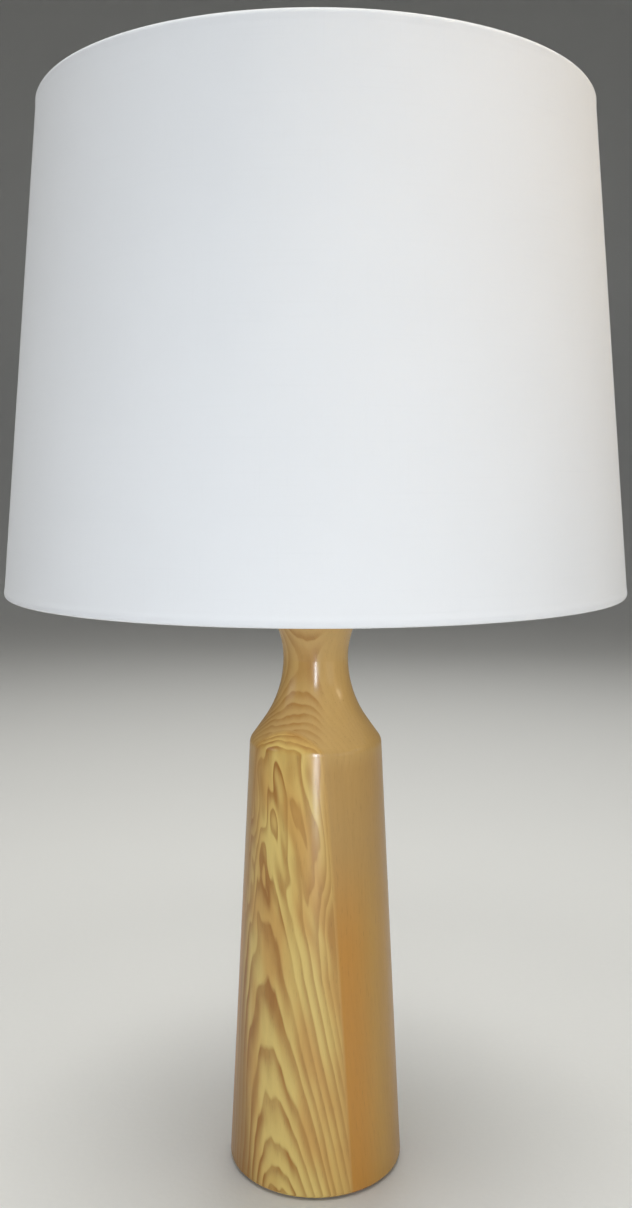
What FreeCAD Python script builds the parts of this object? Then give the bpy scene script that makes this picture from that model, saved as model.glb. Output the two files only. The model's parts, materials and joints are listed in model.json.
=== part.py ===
import FreeCAD, Part
import math
import os

# Column table lamp: a turned ash column on a felt pad carries a lamp socket with a turn-knob
# switch, a bulb, and a detachable harp that holds a hardback drum shade under a finial.
# Millimetres, +Z up, origin at the centre of the felt pad's underside.
# The front of the lamp faces -Y and the cord leaves at the back, towards +Y.

# ---- Turned column -----------------------------------------------------------------------------
FELT_THICKNESS = 1.5
FELT_INSET = 3.35            # felt edge inside the widest part of the wood
FOOT_RADIUS = 60.35          # wood, where the straight taper meets the underside
FOOT_ROUND = 2.0
TAPER_LENGTH = 298.2         # underside of the wood to the shoulder
SHOULDER_RADIUS = 45.0
SHOULDER_ROUND = 9.0
NECK_RISE = 55.6             # shoulder to waist
WAIST_RADIUS = 22.0
NECK_LOWER_CURVE = 73.0      # hollow below the waist
NECK_UPPER_CURVE = 59.0      # hollow above the waist
LIP_RISE = 32.7              # waist to the flat top
LIP_BAND = 3.0               # upright edge of the lip
LIP_ROUND = 1.5
FOOT_RECESS_RADIUS = 22.0    # recess for the nut in the underside
FOOT_RECESS_DEPTH = 30.0

# ---- Cord inlet at the back of the foot --------------------------------------------------------
INLET_HEIGHT = 16.0          # axis above the table
INLET_BORE_RADIUS = 3.3
BUSHING_WALL = 1.5
BUSHING_LENGTH = 14.0        # sleeve inside the wood
BUSHING_FLANGE_RADIUS = 7.5
BUSHING_FLANGE = 1.8
BUSHING_CLEARANCE = 0.2      # sleeve in its hole, radial
SPOT_FACE_MARGIN = 0.5       # flat seat round the flange
SPOT_FACE_DEPTH = 1.2
FLANGE_RIM_ROUND = 0.6       # as a share of the flange's thickness
FLANGE_MOUTH_ROUND = 0.4     # as a share of the flange's thickness

# ---- Threaded pipe, nut and washers ------------------------------------------------------------
PIPE_RADIUS = 4.9
PIPE_BORE_RADIUS = 3.4
PIPE_CLEARANCE = 0.65        # pipe in the long bore of the column, radial
PIPE_BELOW_NUT = 4.0
THREAD_FIT = 0.05            # pieces screwed on the pipe, radial
HOLE_FIT = 0.25              # pieces slipped over the pipe, radial
WASHER_RADIUS = 14.0
WASHER_THICKNESS = 1.6
LOCK_WASHER_RADIUS = 8.2
LOCK_WASHER_THICKNESS = 1.0
LOCK_WASHER_GAP = 1.6        # split in the ring
NUT_ACROSS_FLATS = 14.3
NUT_THICKNESS = 3.2

# ---- Cap, spacer and harp saddle ---------------------------------------------------------------
CAP_RADIUS = 25.0
CAP_HEIGHT = 3.0
CAP_SHEET = 0.9
CAP_SEAT_MARGIN = 1.0        # flat seat beyond the spacer
SPACER_HEIGHT = 19.0         # above the apex of the dome
SPACER_END_RADIUS = 9.5
SPACER_WAIST_RADIUS = 7.2
SPACER_BEAD = 1.4            # half the height of the bead at each end
STRIP_THICKNESS = 1.6
STRIP_CENTRE_WIDTH = 17.0
STRIP_EAR_WIDTH = 8.0
STRIP_BEND_RADIUS = 7.0      # inside the bend
EAR_RISE = 28.0              # underside of the saddle to the ear's shoulder
TONGUE_RISE = 12.0
TONGUE_WIDTH = 2.6
TONGUE_FIT = 0.15            # flat of the wire from the tongue

# ---- Harp --------------------------------------------------------------------------------------
HARP_HEIGHT = 281.0          # saddle plate to the top of the crown pad
HARP_HALF_SPAN = 54.0        # lamp axis to the axis of each leg
HARP_WIRE_RADIUS = 2.0
HARP_LEG = 42.0              # upright stretch that the sleeve slides on
HARP_LEAN_OUT = 5.0          # degrees
HARP_LEAN_IN = 8.0           # degrees, where the shoulder bend starts
HARP_EASE_RADIUS = 200.0
HARP_BOW_RADIUS = 500.0
CROWN_HALF_LENGTH = 10.0
CROWN_PAD_RADIUS = 7.5
CROWN_PAD_THICKNESS = 2.4
CROWN_FLAT_MARGIN = 1.0      # flattened wire beyond the stud's flange
SLEEVE_LENGTH = 16.0
SLEEVE_WALL = 1.05
SLEEVE_FIT = 0.45            # sleeve on the wire, radial
SLEEVE_FOOT_ROUND = 0.3      # as a share of the sleeve's wall
SLEEVE_RIM_ROUND = 0.8       # as a share of the sleeve's wall
LEG_END_GAP = 0.5            # wire end above the ear's shoulder

# ---- Stud that carries the shade ---------------------------------------------------------------
STUD_SHANK_RADIUS = 2.5
STUD_FIT = 0.1               # shank in the crown, radial
STUD_HEAD_RADIUS = 4.0
STUD_HEAD = 1.5
STUD_END_PLAY = 0.15
STUD_FLANGE_RADIUS = 8.0
STUD_FLANGE = 2.0
STUD_COLLAR_RADIUS = 5.0
STUD_THREAD_RADIUS = 3.17
STUD_THREAD = 9.0
STUD_HEAD_ROUND = 0.8        # as a share of the head's height
STUD_FLANGE_ROUND = 0.3      # as a share of the flange's thickness
STUD_END_ROUND = 0.25        # as a share of the thread's radius

# ---- Drum shade --------------------------------------------------------------------------------
SHADE_BOTTOM_RADIUS = 203.2
SHADE_TOP_RADIUS = 175.6
SHADE_HEIGHT = 305.6
SHADE_DROP = 12.7            # hub's underside below the top edge of the shade
FABRIC_THICKNESS = 0.5
LINER_THICKNESS = 0.5
HEM_LENGTH = 12.0            # cloth turned in over each ring
RING_WIRE_RADIUS = 1.5
RING_EASE = 0.1              # ring from the cloth and from the liner
HUB_RADIUS = 12.5
HUB_THICKNESS = 2.0
HUB_FIT = 0.4                # stud collar in the hub, radial
ARM_COUNT = 3
ARM_FIRST_ANGLE = 90.0       # degrees, the first arm points to the back
ARM_WIRE_RADIUS = 1.5
ARM_ANCHOR = 3.5             # wire end inside the hub's edge
ARM_RAMP = 34.0              # sloping end of each arm, measured along the radius
ARM_BEND_RADIUS = 24.0

# ---- Finial ------------------------------------------------------------------------------------
FINIAL_FIT = 0.08            # bore on the stud's thread, radial
FINIAL_FOOT_RADIUS = 7.0
FINIAL_FOOT = 2.2
FINIAL_NECK_RADIUS = 4.5
FINIAL_NECK = 5.0
FINIAL_NECK_SPREAD = 55.0    # degrees of the hollow above and below its waist
FINIAL_BALL_RADIUS = 8.6
FINIAL_TIP_RADIUS = 2.2
FINIAL_BORE_SPARE = 1.5      # bore beyond the end of the stud

# ---- Lamp socket -------------------------------------------------------------------------------
SOCKET_BOSS_RADIUS = 8.0
SOCKET_BOSS = 9.0
SOCKET_CAP_RADIUS = 17.6
SOCKET_CAP_WALL = 16.0       # cup of the cap above the boss
SOCKET_CAP_SHEET = 0.6
SOCKET_CAP_ROUND = 7.5
SHELL_FIT = 0.1              # shell in the cap, radial
SHELL_SHEET = 0.5
SHELL_LENGTH = 42.0
SHELL_OVERLAP = 7.6          # shell inside the cap
SHELL_BEAD_RADIUS = 0.9
INSULATOR_THICKNESS = 0.6
INSULATOR_FIT = 0.1
INSULATOR_SETBACK = 2.0      # paper tube stops short of the shell's bead
BODY_FIT = 0.4               # moulded body in the paper tube, radial
BODY_HEIGHT = 24.6
SCREW_SHELL_RADIUS = 13.6
SCREW_SHELL_SHEET = 0.4
SCREW_SHELL_LENGTH = 22.0
SCREW_SHELL_FLOOR_HOLE = 7.0
CONTACT_WIDTH = 4.0
CONTACT_LENGTH = 10.0
CONTACT_SHEET = 0.4
CONTACT_RISE = 1.8
TERMINAL_HEAD_RADIUS = 3.0
TERMINAL_HEAD = 1.6
TERMINAL_SHANK_RADIUS = 1.4
TERMINAL_SHANK = 5.0
TERMINAL_SLOT = 0.8
TERMINAL_POCKET = 2.2        # depth of the flat cut in the moulded body
TERMINAL_ABOVE_BODY_FOOT = 8.0
SET_SCREW_RADIUS = 2.0
SET_SCREW_PROUD = 1.0

# ---- Turn-knob switch --------------------------------------------------------------------------
SPINDLE_RADIUS = 1.6
SPINDLE_FIT = 0.1
SPINDLE_ABOVE_CAP = 4.6      # axis above the rim of the socket cap
SPINDLE_REACH = 31.0         # lamp axis to the end of the spindle
SPINDLE_SLOT_FIT = 0.5       # slot in the shell, each side
CAM_RADIUS = 3.2
CAM_LENGTH = 4.0
CAM_START = 3.0              # lamp axis to the inner face of the cam
CAM_FIT = 0.3
KNOB_RADIUS = 5.6
KNOB_TIP_RADIUS = 4.7
KNOB_LENGTH = 14.0
KNOB_START = 20.5            # lamp axis to the inner face of the knob
KNOB_FLUTES = 10
KNOB_FLUTE_RADIUS = 1.1
KNOB_FLUTE_OUTSIDE = 0.4     # flute's axis beyond the knob, as a share of the flute's radius
KNOB_ROUND = 1.0

# ---- Bulb --------------------------------------------------------------------------------------
BULB_RADIUS = 30.0
BULB_LENGTH = 110.0          # tip to crown
BULB_GLASS = 0.6
BULB_NECK_RADIUS = 12.3
BULB_NECK_RISE = 28.0        # tip to the end of the straight neck
BULB_BASE_RADIUS = 12.9
BULB_BASE_SHEET = 0.4
BULB_BASE_LIP = 3            # width of the turned-in foot, in thicknesses of the sheet
GLASS_IN_BASE = 2 / 3        # glass starts above the base's foot, as a share of the neck radius
BULB_BASE_TOP = 24.0         # tip to the rim of the metal base
BULB_BASE_BOTTOM = 6.0       # tip to the foot of the metal base
BULB_TIP_RADIUS = 4.8
BULB_TIP = 2.0
BULB_TIP_ROUND = 0.7         # as a share of the tip's height
BULB_SEAT_GAP = 0.2          # tip above the contact
STEM_RADIUS = 3.0
STEM_RISE = 48.0             # tip of the bulb to the top of the stem
STEM_SKIRT = 8.0
STEM_TOP_ROUND = 0.5         # as a share of the stem's radius
FILAMENT_WIRE_RADIUS = 0.3
FILAMENT_HALF_SPAN = 9.0
FILAMENT_RISE = 20.0         # above the stem
FILAMENT_LEAD_BEND = 3.0

# ---- Heights that follow from the stack of pieces ----------------------------------------------
wood_bottom = FELT_THICKNESS
shoulder_z = wood_bottom + TAPER_LENGTH
waist_z = shoulder_z + NECK_RISE
wood_top = waist_z + LIP_RISE
recess_top = wood_bottom + FOOT_RECESS_DEPTH
saddle_z = wood_top + CAP_HEIGHT + SPACER_HEIGHT
saddle_top = saddle_z + STRIP_THICKNESS
socket_z = saddle_top + LOCK_WASHER_THICKNESS
cup_z = socket_z + SOCKET_BOSS
cap_rim_z = cup_z + SOCKET_CAP_WALL
shell_z = cap_rim_z - SHELL_OVERLAP
shell_top = shell_z + SHELL_LENGTH
spindle_z = cap_rim_z + SPINDLE_ABOVE_CAP
ear_z = saddle_z + EAR_RISE
tongue_z = ear_z + TONGUE_RISE
pad_top = saddle_top + HARP_HEIGHT
pad_bottom = pad_top - CROWN_PAD_THICKNESS
crown_z = pad_top - CROWN_PAD_THICKNESS / 2
hub_z = pad_top + STUD_FLANGE
hub_top = hub_z + HUB_THICKNESS
shade_top = hub_z + SHADE_DROP
shade_bottom = shade_top - SHADE_HEIGHT

AXIS = FreeCAD.Vector(0, 0, 1)
CENTRE = FreeCAD.Vector(0, 0, 0)


# ---- Small modelling helpers -------------------------------------------------------------------
def in_section(radius, height):
    """Point of a section that is drawn in the XZ plane."""
    return FreeCAD.Vector(radius, 0, height)


def on_circle(centre, radius, degrees):
    """Point of a circle in a section, its angle measured from the outward direction."""
    angle = math.radians(degrees)
    return (centre[0] + radius * math.cos(angle), centre[1] + radius * math.sin(angle))


class Section:
    """Outline in the plane of radius and height, drawn edge by edge."""

    def __init__(self, radius, height):
        self.start = (radius, height)
        self.here = self.start
        self.edges = []

    def line(self, radius, height):
        there = (radius, height)
        if math.dist(self.here, there) > 1e-6:
            self.edges.append(Part.makeLine(in_section(*self.here), in_section(*there)))
            self.here = there
        return self

    def arc(self, centre, radius, first, last):
        """Straight to the start of an arc, then along it from one angle to the other."""
        self.line(*on_circle(centre, radius, first))
        middle = on_circle(centre, radius, (first + last) / 2)
        end = on_circle(centre, radius, last)
        curve = Part.Arc(in_section(*self.here), in_section(*middle), in_section(*end))
        self.edges.append(curve.toShape())
        self.here = end
        return self

    def wire(self):
        return Part.Wire(self.edges)

    def face(self):
        self.line(*self.start)
        return Part.Face(self.wire())

    def revolved(self):
        return self.face().revolve(CENTRE, AXIS, 360)

    def extruded(self, width):
        """Solid of the given width, centred on the XZ plane."""
        face = self.face()
        face.translate(FreeCAD.Vector(0, -width / 2, 0))
        return face.extrude(FreeCAD.Vector(0, width, 0))


def rounded_section(corners):
    """Section through corners given as (radius, height) or (radius, height, rounding)."""
    def trimmed(here, other, length):
        share = length / math.dist(here, other)
        return tuple(a + (b - a) * share for a, b in zip(here, other))

    count = len(corners)
    section = None
    for index, corner in enumerate(corners):
        here = corner[:2]
        before = corners[index - 1][:2]
        after = corners[(index + 1) % count][:2]
        rounding = corner[2] if len(corner) > 2 else 0
        if not rounding:
            section = section.line(*here) if section else Section(*here)
            continue
        sides = [math.atan2(p[1] - here[1], p[0] - here[0]) for p in (before, after)]
        half = abs((sides[0] - sides[1] + math.pi) % (2 * math.pi) - math.pi) / 2
        enter = trimmed(here, before, rounding / math.tan(half))
        leave = trimmed(here, after, rounding / math.tan(half))
        middle = tuple((a + b) / 2 for a, b in zip(enter, leave))
        away = rounding / math.sin(half)
        centre = trimmed(here, middle, away)
        top = trimmed(here, middle, away - rounding)
        section = section.line(*enter) if section else Section(*enter)
        arc = Part.Arc(in_section(*enter), in_section(*top), in_section(*leave))
        section.edges.append(arc.toShape())
        section.here = leave
    return section


def disc(radius, thickness, z):
    return Part.makeCylinder(radius, thickness, FreeCAD.Vector(0, 0, z))


def ring(inner, outer, thickness, z):
    return disc(outer, thickness, z).cut(disc(inner, thickness, z))


def block(x_range, y_range, z_range):
    corner = FreeCAD.Vector(x_range[0], y_range[0], z_range[0])
    sizes = [limits[1] - limits[0] for limits in (x_range, y_range, z_range)]
    return Part.makeBox(*sizes, corner)


def rod(radius, start, end):
    """Round rod between two points."""
    start, end = FreeCAD.Vector(*start), FreeCAD.Vector(*end)
    return Part.makeCylinder(radius, start.distanceToPoint(end), start, end.sub(start))


def turned(shape, degrees, axis=AXIS, centre=CENTRE):
    copy = shape.copy()
    copy.rotate(centre, axis, degrees)
    return copy


def bent_wire(path, radius):
    """Round wire swept along a path of tangent lines and arcs."""
    edge = path.Edges[0]
    start = edge.valueAt(edge.FirstParameter)
    along = edge.tangentAt(edge.FirstParameter)
    circle = Part.Wire(Part.Edge(Part.Circle(start, along, radius)))
    return path.makePipeShell([circle], True, False)


# ---- Column and what is fixed in its foot ------------------------------------------------------
def taper_radius(z):
    share = (z - wood_bottom) / TAPER_LENGTH
    return FOOT_RADIUS + (SHOULDER_RADIUS - FOOT_RADIUS) * share


lip_radius = WAIST_RADIUS + NECK_UPPER_CURVE - math.sqrt(
    NECK_UPPER_CURVE ** 2 - (LIP_RISE - LIP_BAND) ** 2)
spot_face_y = taper_radius(INLET_HEIGHT) - SPOT_FACE_DEPTH
bushing_radius = INLET_BORE_RADIUS + BUSHING_WALL


def column_section():
    """Half outline of the turning: straight taper, shoulder, hollow neck and lip."""
    lower = (WAIST_RADIUS + NECK_LOWER_CURVE, waist_z)
    upper = (WAIST_RADIUS + NECK_UPPER_CURVE, waist_z)
    shoulder = (SHOULDER_RADIUS, shoulder_z)

    # The neck leaves the shoulder along the tangent to its lower hollow.
    reach = math.dist(shoulder, lower)
    bearing = math.degrees(math.atan2(shoulder[1] - lower[1], shoulder[0] - lower[0])) % 360
    hollow_start = bearing - math.degrees(math.acos(NECK_LOWER_CURVE / reach))

    # The rounding of the shoulder touches both the taper and that tangent.
    tangent_slope = hollow_start - 90
    taper_slope = math.degrees(math.atan2(TAPER_LENGTH, SHOULDER_RADIUS - FOOT_RADIUS))
    turn = tangent_slope - taper_slope
    trim = SHOULDER_ROUND * math.tan(math.radians(turn / 2))
    on_taper = on_circle(shoulder, trim, taper_slope + 180)
    rounding = on_circle(on_taper, SHOULDER_ROUND, taper_slope + 90)

    # The rounding of the foot touches the underside and the taper.
    foot_trim = FOOT_ROUND * math.tan(math.radians(taper_slope / 2))
    foot = (FOOT_RADIUS - foot_trim, wood_bottom + FOOT_ROUND)

    lip_angle = math.degrees(math.asin((LIP_RISE - LIP_BAND) / NECK_UPPER_CURVE))
    lip = (lip_radius - LIP_ROUND, wood_top - LIP_ROUND)
    section = Section(0, wood_bottom)
    section.arc(foot, FOOT_ROUND, -90, taper_slope - 90)
    section.arc(rounding, SHOULDER_ROUND, taper_slope - 90, tangent_slope - 90)
    section.arc(lower, NECK_LOWER_CURVE, hollow_start, 180)
    section.arc(upper, NECK_UPPER_CURVE, 180, 180 - lip_angle)
    section.arc(lip, LIP_ROUND, 0, 90)
    section.line(0, wood_top)
    return section


def column():
    wood = column_section().revolved()
    bore = disc(PIPE_RADIUS + PIPE_CLEARANCE, wood_top - wood_bottom, wood_bottom)
    recess = disc(FOOT_RECESS_RADIUS, FOOT_RECESS_DEPTH, wood_bottom)
    inlet = rod(bushing_radius + BUSHING_CLEARANCE,
                (0, 0, INLET_HEIGHT), (0, FOOT_RADIUS, INLET_HEIGHT))
    spot_face = rod(BUSHING_FLANGE_RADIUS + SPOT_FACE_MARGIN,
                    (0, spot_face_y, INLET_HEIGHT), (0, 2 * FOOT_RADIUS, INLET_HEIGHT))
    return wood.cut(bore).cut(recess).cut(inlet).cut(spot_face)


def felt_pad():
    return disc(FOOT_RADIUS - FELT_INSET, FELT_THICKNESS, 0)


def cord_bushing():
    """Flanged sleeve in the inlet, its flange rounded outside and its bore eased at the mouth."""
    section = rounded_section([
        (INLET_BORE_RADIUS, -BUSHING_LENGTH),
        (bushing_radius, -BUSHING_LENGTH),
        (bushing_radius, 0),
        (BUSHING_FLANGE_RADIUS, 0),
        (BUSHING_FLANGE_RADIUS, BUSHING_FLANGE, FLANGE_RIM_ROUND * BUSHING_FLANGE),
        (INLET_BORE_RADIUS, BUSHING_FLANGE, FLANGE_MOUTH_ROUND * BUSHING_FLANGE),
    ])
    sleeve = turned(section.revolved(), -90, FreeCAD.Vector(1, 0, 0))
    sleeve.translate(FreeCAD.Vector(0, spot_face_y, INLET_HEIGHT))
    return sleeve


nut_z = recess_top - WASHER_THICKNESS - LOCK_WASHER_THICKNESS - NUT_THICKNESS
pipe_bottom = nut_z - PIPE_BELOW_NUT
pipe_top = cup_z - 2 * LOCK_WASHER_THICKNESS
pipe_hole = PIPE_RADIUS + HOLE_FIT
pipe_thread = PIPE_RADIUS + THREAD_FIT


def threaded_pipe():
    return ring(PIPE_BORE_RADIUS, PIPE_RADIUS, pipe_top - pipe_bottom, pipe_bottom)


def base_washer():
    return ring(pipe_hole, WASHER_RADIUS, WASHER_THICKNESS, recess_top - WASHER_THICKNESS)


def split_washer(z):
    washer = ring(pipe_hole, LOCK_WASHER_RADIUS, LOCK_WASHER_THICKNESS, z)
    split = block((0, 2 * LOCK_WASHER_RADIUS), (-LOCK_WASHER_GAP / 2, LOCK_WASHER_GAP / 2),
                  (z, z + LOCK_WASHER_THICKNESS))
    return washer.cut(split)


def base_nut():
    """Hexagon nut with its corners bevelled by a cone."""
    corner_radius = NUT_ACROSS_FLATS / math.sqrt(3)
    corners = [FreeCAD.Vector(corner_radius * math.cos(math.radians(60 * side)),
                              corner_radius * math.sin(math.radians(60 * side)), nut_z)
               for side in range(7)]
    hexagon = Part.Face(Part.makePolygon(corners)).extrude(FreeCAD.Vector(0, 0, NUT_THICKNESS))
    bevel = Section(0, nut_z)
    bevel.line(NUT_ACROSS_FLATS / 2, nut_z)
    bevel.line(corner_radius, nut_z + (corner_radius - NUT_ACROSS_FLATS / 2) / 2)
    bevel.line(corner_radius, nut_z + NUT_THICKNESS)
    bevel.line(0, nut_z + NUT_THICKNESS)
    return hexagon.common(bevel.revolved()).cut(disc(pipe_thread, NUT_THICKNESS, nut_z))


# ---- Cap, spacer and saddle between the wood and the socket ------------------------------------
dome_radius = (CAP_RADIUS ** 2 + CAP_HEIGHT ** 2) / (2 * CAP_HEIGHT)
dome = (0, wood_top + CAP_HEIGHT - dome_radius)
cap_seat_radius = SPACER_END_RADIUS + CAP_SEAT_MARGIN
cap_seat_z = dome[1] + math.sqrt(dome_radius ** 2 - cap_seat_radius ** 2)


def vase_cap():
    """Shallow pressed dome over the bore of the column, with a flat seat for the spacer."""
    inner_radius = dome_radius - CAP_SHEET
    rim_angle = math.degrees(math.asin((wood_top - dome[1]) / inner_radius))
    edge_angle = math.degrees(math.acos(CAP_RADIUS / dome_radius))
    seat_angle = math.degrees(math.acos(cap_seat_radius / dome_radius))
    under_seat = math.degrees(math.asin((cap_seat_z - CAP_SHEET - dome[1]) / inner_radius))
    section = Section(*on_circle(dome, inner_radius, rim_angle))
    section.line(CAP_RADIUS, wood_top)
    section.arc(dome, dome_radius, edge_angle, seat_angle)
    section.line(pipe_hole, cap_seat_z)
    section.line(pipe_hole, cap_seat_z - CAP_SHEET)
    section.arc(dome, inner_radius, under_seat, rim_angle)
    return section.revolved()


def neck_spacer():
    """Turned brass spacer: a bead at each end and a hollow between them."""
    bead_centre = SPACER_END_RADIUS - SPACER_BEAD
    low = cap_seat_z + SPACER_BEAD
    high = saddle_z - SPACER_BEAD
    half = (high - low) / 2 - SPACER_BEAD
    depth = bead_centre - SPACER_WAIST_RADIUS
    hollow_radius = (half ** 2 + depth ** 2) / (2 * depth)
    hollow = (SPACER_WAIST_RADIUS + hollow_radius, (low + high) / 2)
    spread = math.degrees(math.asin(half / hollow_radius))
    section = Section(pipe_hole, low - SPACER_BEAD)
    section.arc((bead_centre, low), SPACER_BEAD, -90, 90)
    section.arc(hollow, hollow_radius, 180 + spread, 180 - spread)
    section.arc((bead_centre, high), SPACER_BEAD, -90, 90)
    section.line(pipe_hole, saddle_z)
    return section.revolved()


ear_outer_x = HARP_HALF_SPAN - TONGUE_FIT
ear_inner_x = ear_outer_x - STRIP_THICKNESS


def saddle_profile():
    """Side view of the bent strip, from ear to ear."""
    outside = STRIP_BEND_RADIUS + STRIP_THICKNESS
    bend = (ear_inner_x - STRIP_BEND_RADIUS, saddle_top + STRIP_BEND_RADIUS)
    other = (-bend[0], bend[1])
    section = Section(0, saddle_z)
    section.arc(bend, outside, -90, 0)
    section.line(ear_outer_x, tongue_z)
    section.line(ear_inner_x, tongue_z)
    section.arc(bend, STRIP_BEND_RADIUS, 0, -90)
    section.arc(other, STRIP_BEND_RADIUS, -90, -180)
    section.line(-ear_inner_x, tongue_z)
    section.line(-ear_outer_x, tongue_z)
    section.arc(other, outside, -180, -90)
    return section


def saddle_outline():
    """Plan of the strip: a round centre that narrows to the ears."""
    half_ear = STRIP_EAR_WIDTH / 2
    waist = block((-ear_outer_x, ear_outer_x), (-half_ear, half_ear), (saddle_z, tongue_z))
    centre = disc(STRIP_CENTRE_WIDTH / 2, tongue_z - saddle_z, saddle_z)
    corners = [(-ear_inner_x + STRIP_BEND_RADIUS, -half_ear), (0, -STRIP_CENTRE_WIDTH / 2),
               (ear_inner_x - STRIP_BEND_RADIUS, -half_ear),
               (ear_inner_x - STRIP_BEND_RADIUS, half_ear), (0, STRIP_CENTRE_WIDTH / 2),
               (-ear_inner_x + STRIP_BEND_RADIUS, half_ear)]
    points = [FreeCAD.Vector(x, y, saddle_z) for x, y in corners + corners[:1]]
    spread = Part.Face(Part.makePolygon(points))
    return waist.fuse(centre).fuse(spread.extrude(FreeCAD.Vector(0, 0, tongue_z - saddle_z)))


def harp_saddle():
    """Strip bent up into two ears, each ending in a shoulder and a narrow tongue."""
    strip = saddle_profile().extruded(STRIP_CENTRE_WIDTH).common(saddle_outline())
    for side in (-1, 1):
        notch = block((-ear_outer_x, ear_outer_x), sorted((side * TONGUE_WIDTH / 2,
                      side * STRIP_EAR_WIDTH)), (ear_z, tongue_z))
        strip = strip.cut(notch)
    return strip.cut(disc(pipe_hole, STRIP_THICKNESS, saddle_z))


# ---- Harp, sleeves and stud --------------------------------------------------------------------
leg_bottom = ear_z + LEG_END_GAP


def harp_path():
    """Centre line: legs, slight lean outwards, long bow, shoulder bends and flat crown."""
    out, back = math.radians(HARP_LEAN_OUT), math.radians(HARP_LEAN_IN)

    # Straight stretch and shoulder bend that bring the bow to the crown's height and middle.
    across = (CROWN_HALF_LENGTH - HARP_HALF_SPAN - HARP_EASE_RADIUS * (1 - math.cos(out))
              - HARP_BOW_RADIUS * (math.cos(back) - math.cos(out)))
    upward = (crown_z - leg_bottom - HARP_LEG - HARP_EASE_RADIUS * math.sin(out)
              - HARP_BOW_RADIUS * (math.sin(out) + math.sin(back)))
    scale = math.sin(out) * (1 - math.sin(back)) + math.cos(back) * math.cos(out)
    shoulder = (upward * math.sin(out) - across * math.cos(out)) / scale

    ease = (HARP_HALF_SPAN + HARP_EASE_RADIUS, leg_bottom + HARP_LEG)
    corner = (CROWN_HALF_LENGTH, crown_z - shoulder)
    joint = on_circle(corner, shoulder, HARP_LEAN_IN)
    bow = on_circle(joint, HARP_BOW_RADIUS, 180 + HARP_LEAN_IN)

    def mirrored(centre):
        return (-centre[0], centre[1])

    path = Section(HARP_HALF_SPAN, leg_bottom)
    path.arc(ease, HARP_EASE_RADIUS, 180, 180 - HARP_LEAN_OUT)
    path.arc(bow, HARP_BOW_RADIUS, -HARP_LEAN_OUT, HARP_LEAN_IN)
    path.arc(corner, shoulder, HARP_LEAN_IN, 90)
    path.arc(mirrored(corner), shoulder, 90, 180 - HARP_LEAN_IN)
    path.arc(mirrored(bow), HARP_BOW_RADIUS, 180 - HARP_LEAN_IN, 180 + HARP_LEAN_OUT)
    path.arc(mirrored(ease), HARP_EASE_RADIUS, HARP_LEAN_OUT, 0)
    path.line(-HARP_HALF_SPAN, leg_bottom)
    return path.wire()


def harp_wire():
    """Bent wire with a flat on each end for the tongue and a flattened, pierced crown."""
    wire = bent_wire(harp_path(), HARP_WIRE_RADIUS)
    wide = 2 * HARP_WIRE_RADIUS
    for side in (-1, 1):
        flat = block(sorted((side * (HARP_HALF_SPAN - wide), side * HARP_HALF_SPAN)),
                     (-wide, wide), (leg_bottom - wide, tongue_z))
        wire = wire.cut(flat)
    half_flat = STUD_FLANGE_RADIUS + CROWN_FLAT_MARGIN
    around_pad = (-half_flat, half_flat)
    wire = wire.cut(block(around_pad, (-wide, wide), (pad_top, pad_top + wide)))
    wire = wire.cut(block(around_pad, (-wide, wide), (pad_bottom - wide, pad_bottom)))
    wire = wire.fuse(disc(CROWN_PAD_RADIUS, CROWN_PAD_THICKNESS, pad_bottom))
    return wire.cut(disc(STUD_SHANK_RADIUS + STUD_FIT, CROWN_PAD_THICKNESS, pad_bottom))


def harp_sleeve(side):
    """Tube that drops over the tongue and the wire end; its upper rim is rolled in."""
    inner = HARP_WIRE_RADIUS + SLEEVE_FIT
    outer = inner + SLEEVE_WALL
    section = rounded_section([
        (inner, ear_z),
        (outer, ear_z, SLEEVE_FOOT_ROUND * SLEEVE_WALL),
        (outer, ear_z + SLEEVE_LENGTH, SLEEVE_RIM_ROUND * SLEEVE_WALL),
        (inner, ear_z + SLEEVE_LENGTH),
    ])
    sleeve = section.revolved()
    sleeve.translate(FreeCAD.Vector(side * HARP_HALF_SPAN, 0, 0))
    return sleeve


def harp_stud():
    """Swivelling stud: rivet head, shank, flange, hub collar and thread, all turned in one."""
    head_top = pad_bottom - STUD_END_PLAY
    head_bottom = head_top - STUD_HEAD
    thread_top = hub_top + STUD_THREAD
    section = rounded_section([
        (0, head_bottom),
        (STUD_HEAD_RADIUS, head_bottom, STUD_HEAD_ROUND * STUD_HEAD),
        (STUD_HEAD_RADIUS, head_top),
        (STUD_SHANK_RADIUS, head_top),
        (STUD_SHANK_RADIUS, pad_top),
        (STUD_FLANGE_RADIUS, pad_top),
        (STUD_FLANGE_RADIUS, hub_z, STUD_FLANGE_ROUND * STUD_FLANGE),
        (STUD_COLLAR_RADIUS, hub_z),
        (STUD_COLLAR_RADIUS, hub_top - STUD_END_PLAY),
        (STUD_THREAD_RADIUS, hub_top - STUD_END_PLAY),
        (STUD_THREAD_RADIUS, thread_top, STUD_END_ROUND * STUD_THREAD_RADIUS),
        (0, thread_top),
    ])
    return section.revolved()


# ---- Shade -------------------------------------------------------------------------------------
wall_length = math.hypot(SHADE_BOTTOM_RADIUS - SHADE_TOP_RADIUS, SHADE_HEIGHT)
wall_lean = math.degrees(math.atan2(SHADE_BOTTOM_RADIUS - SHADE_TOP_RADIUS, SHADE_HEIGHT))
edge_thickness = (2 * FABRIC_THICKNESS + LINER_THICKNESS + 2 * RING_WIRE_RADIUS
                  + 2 * RING_EASE)
edge_roll = edge_thickness / 2


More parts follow.
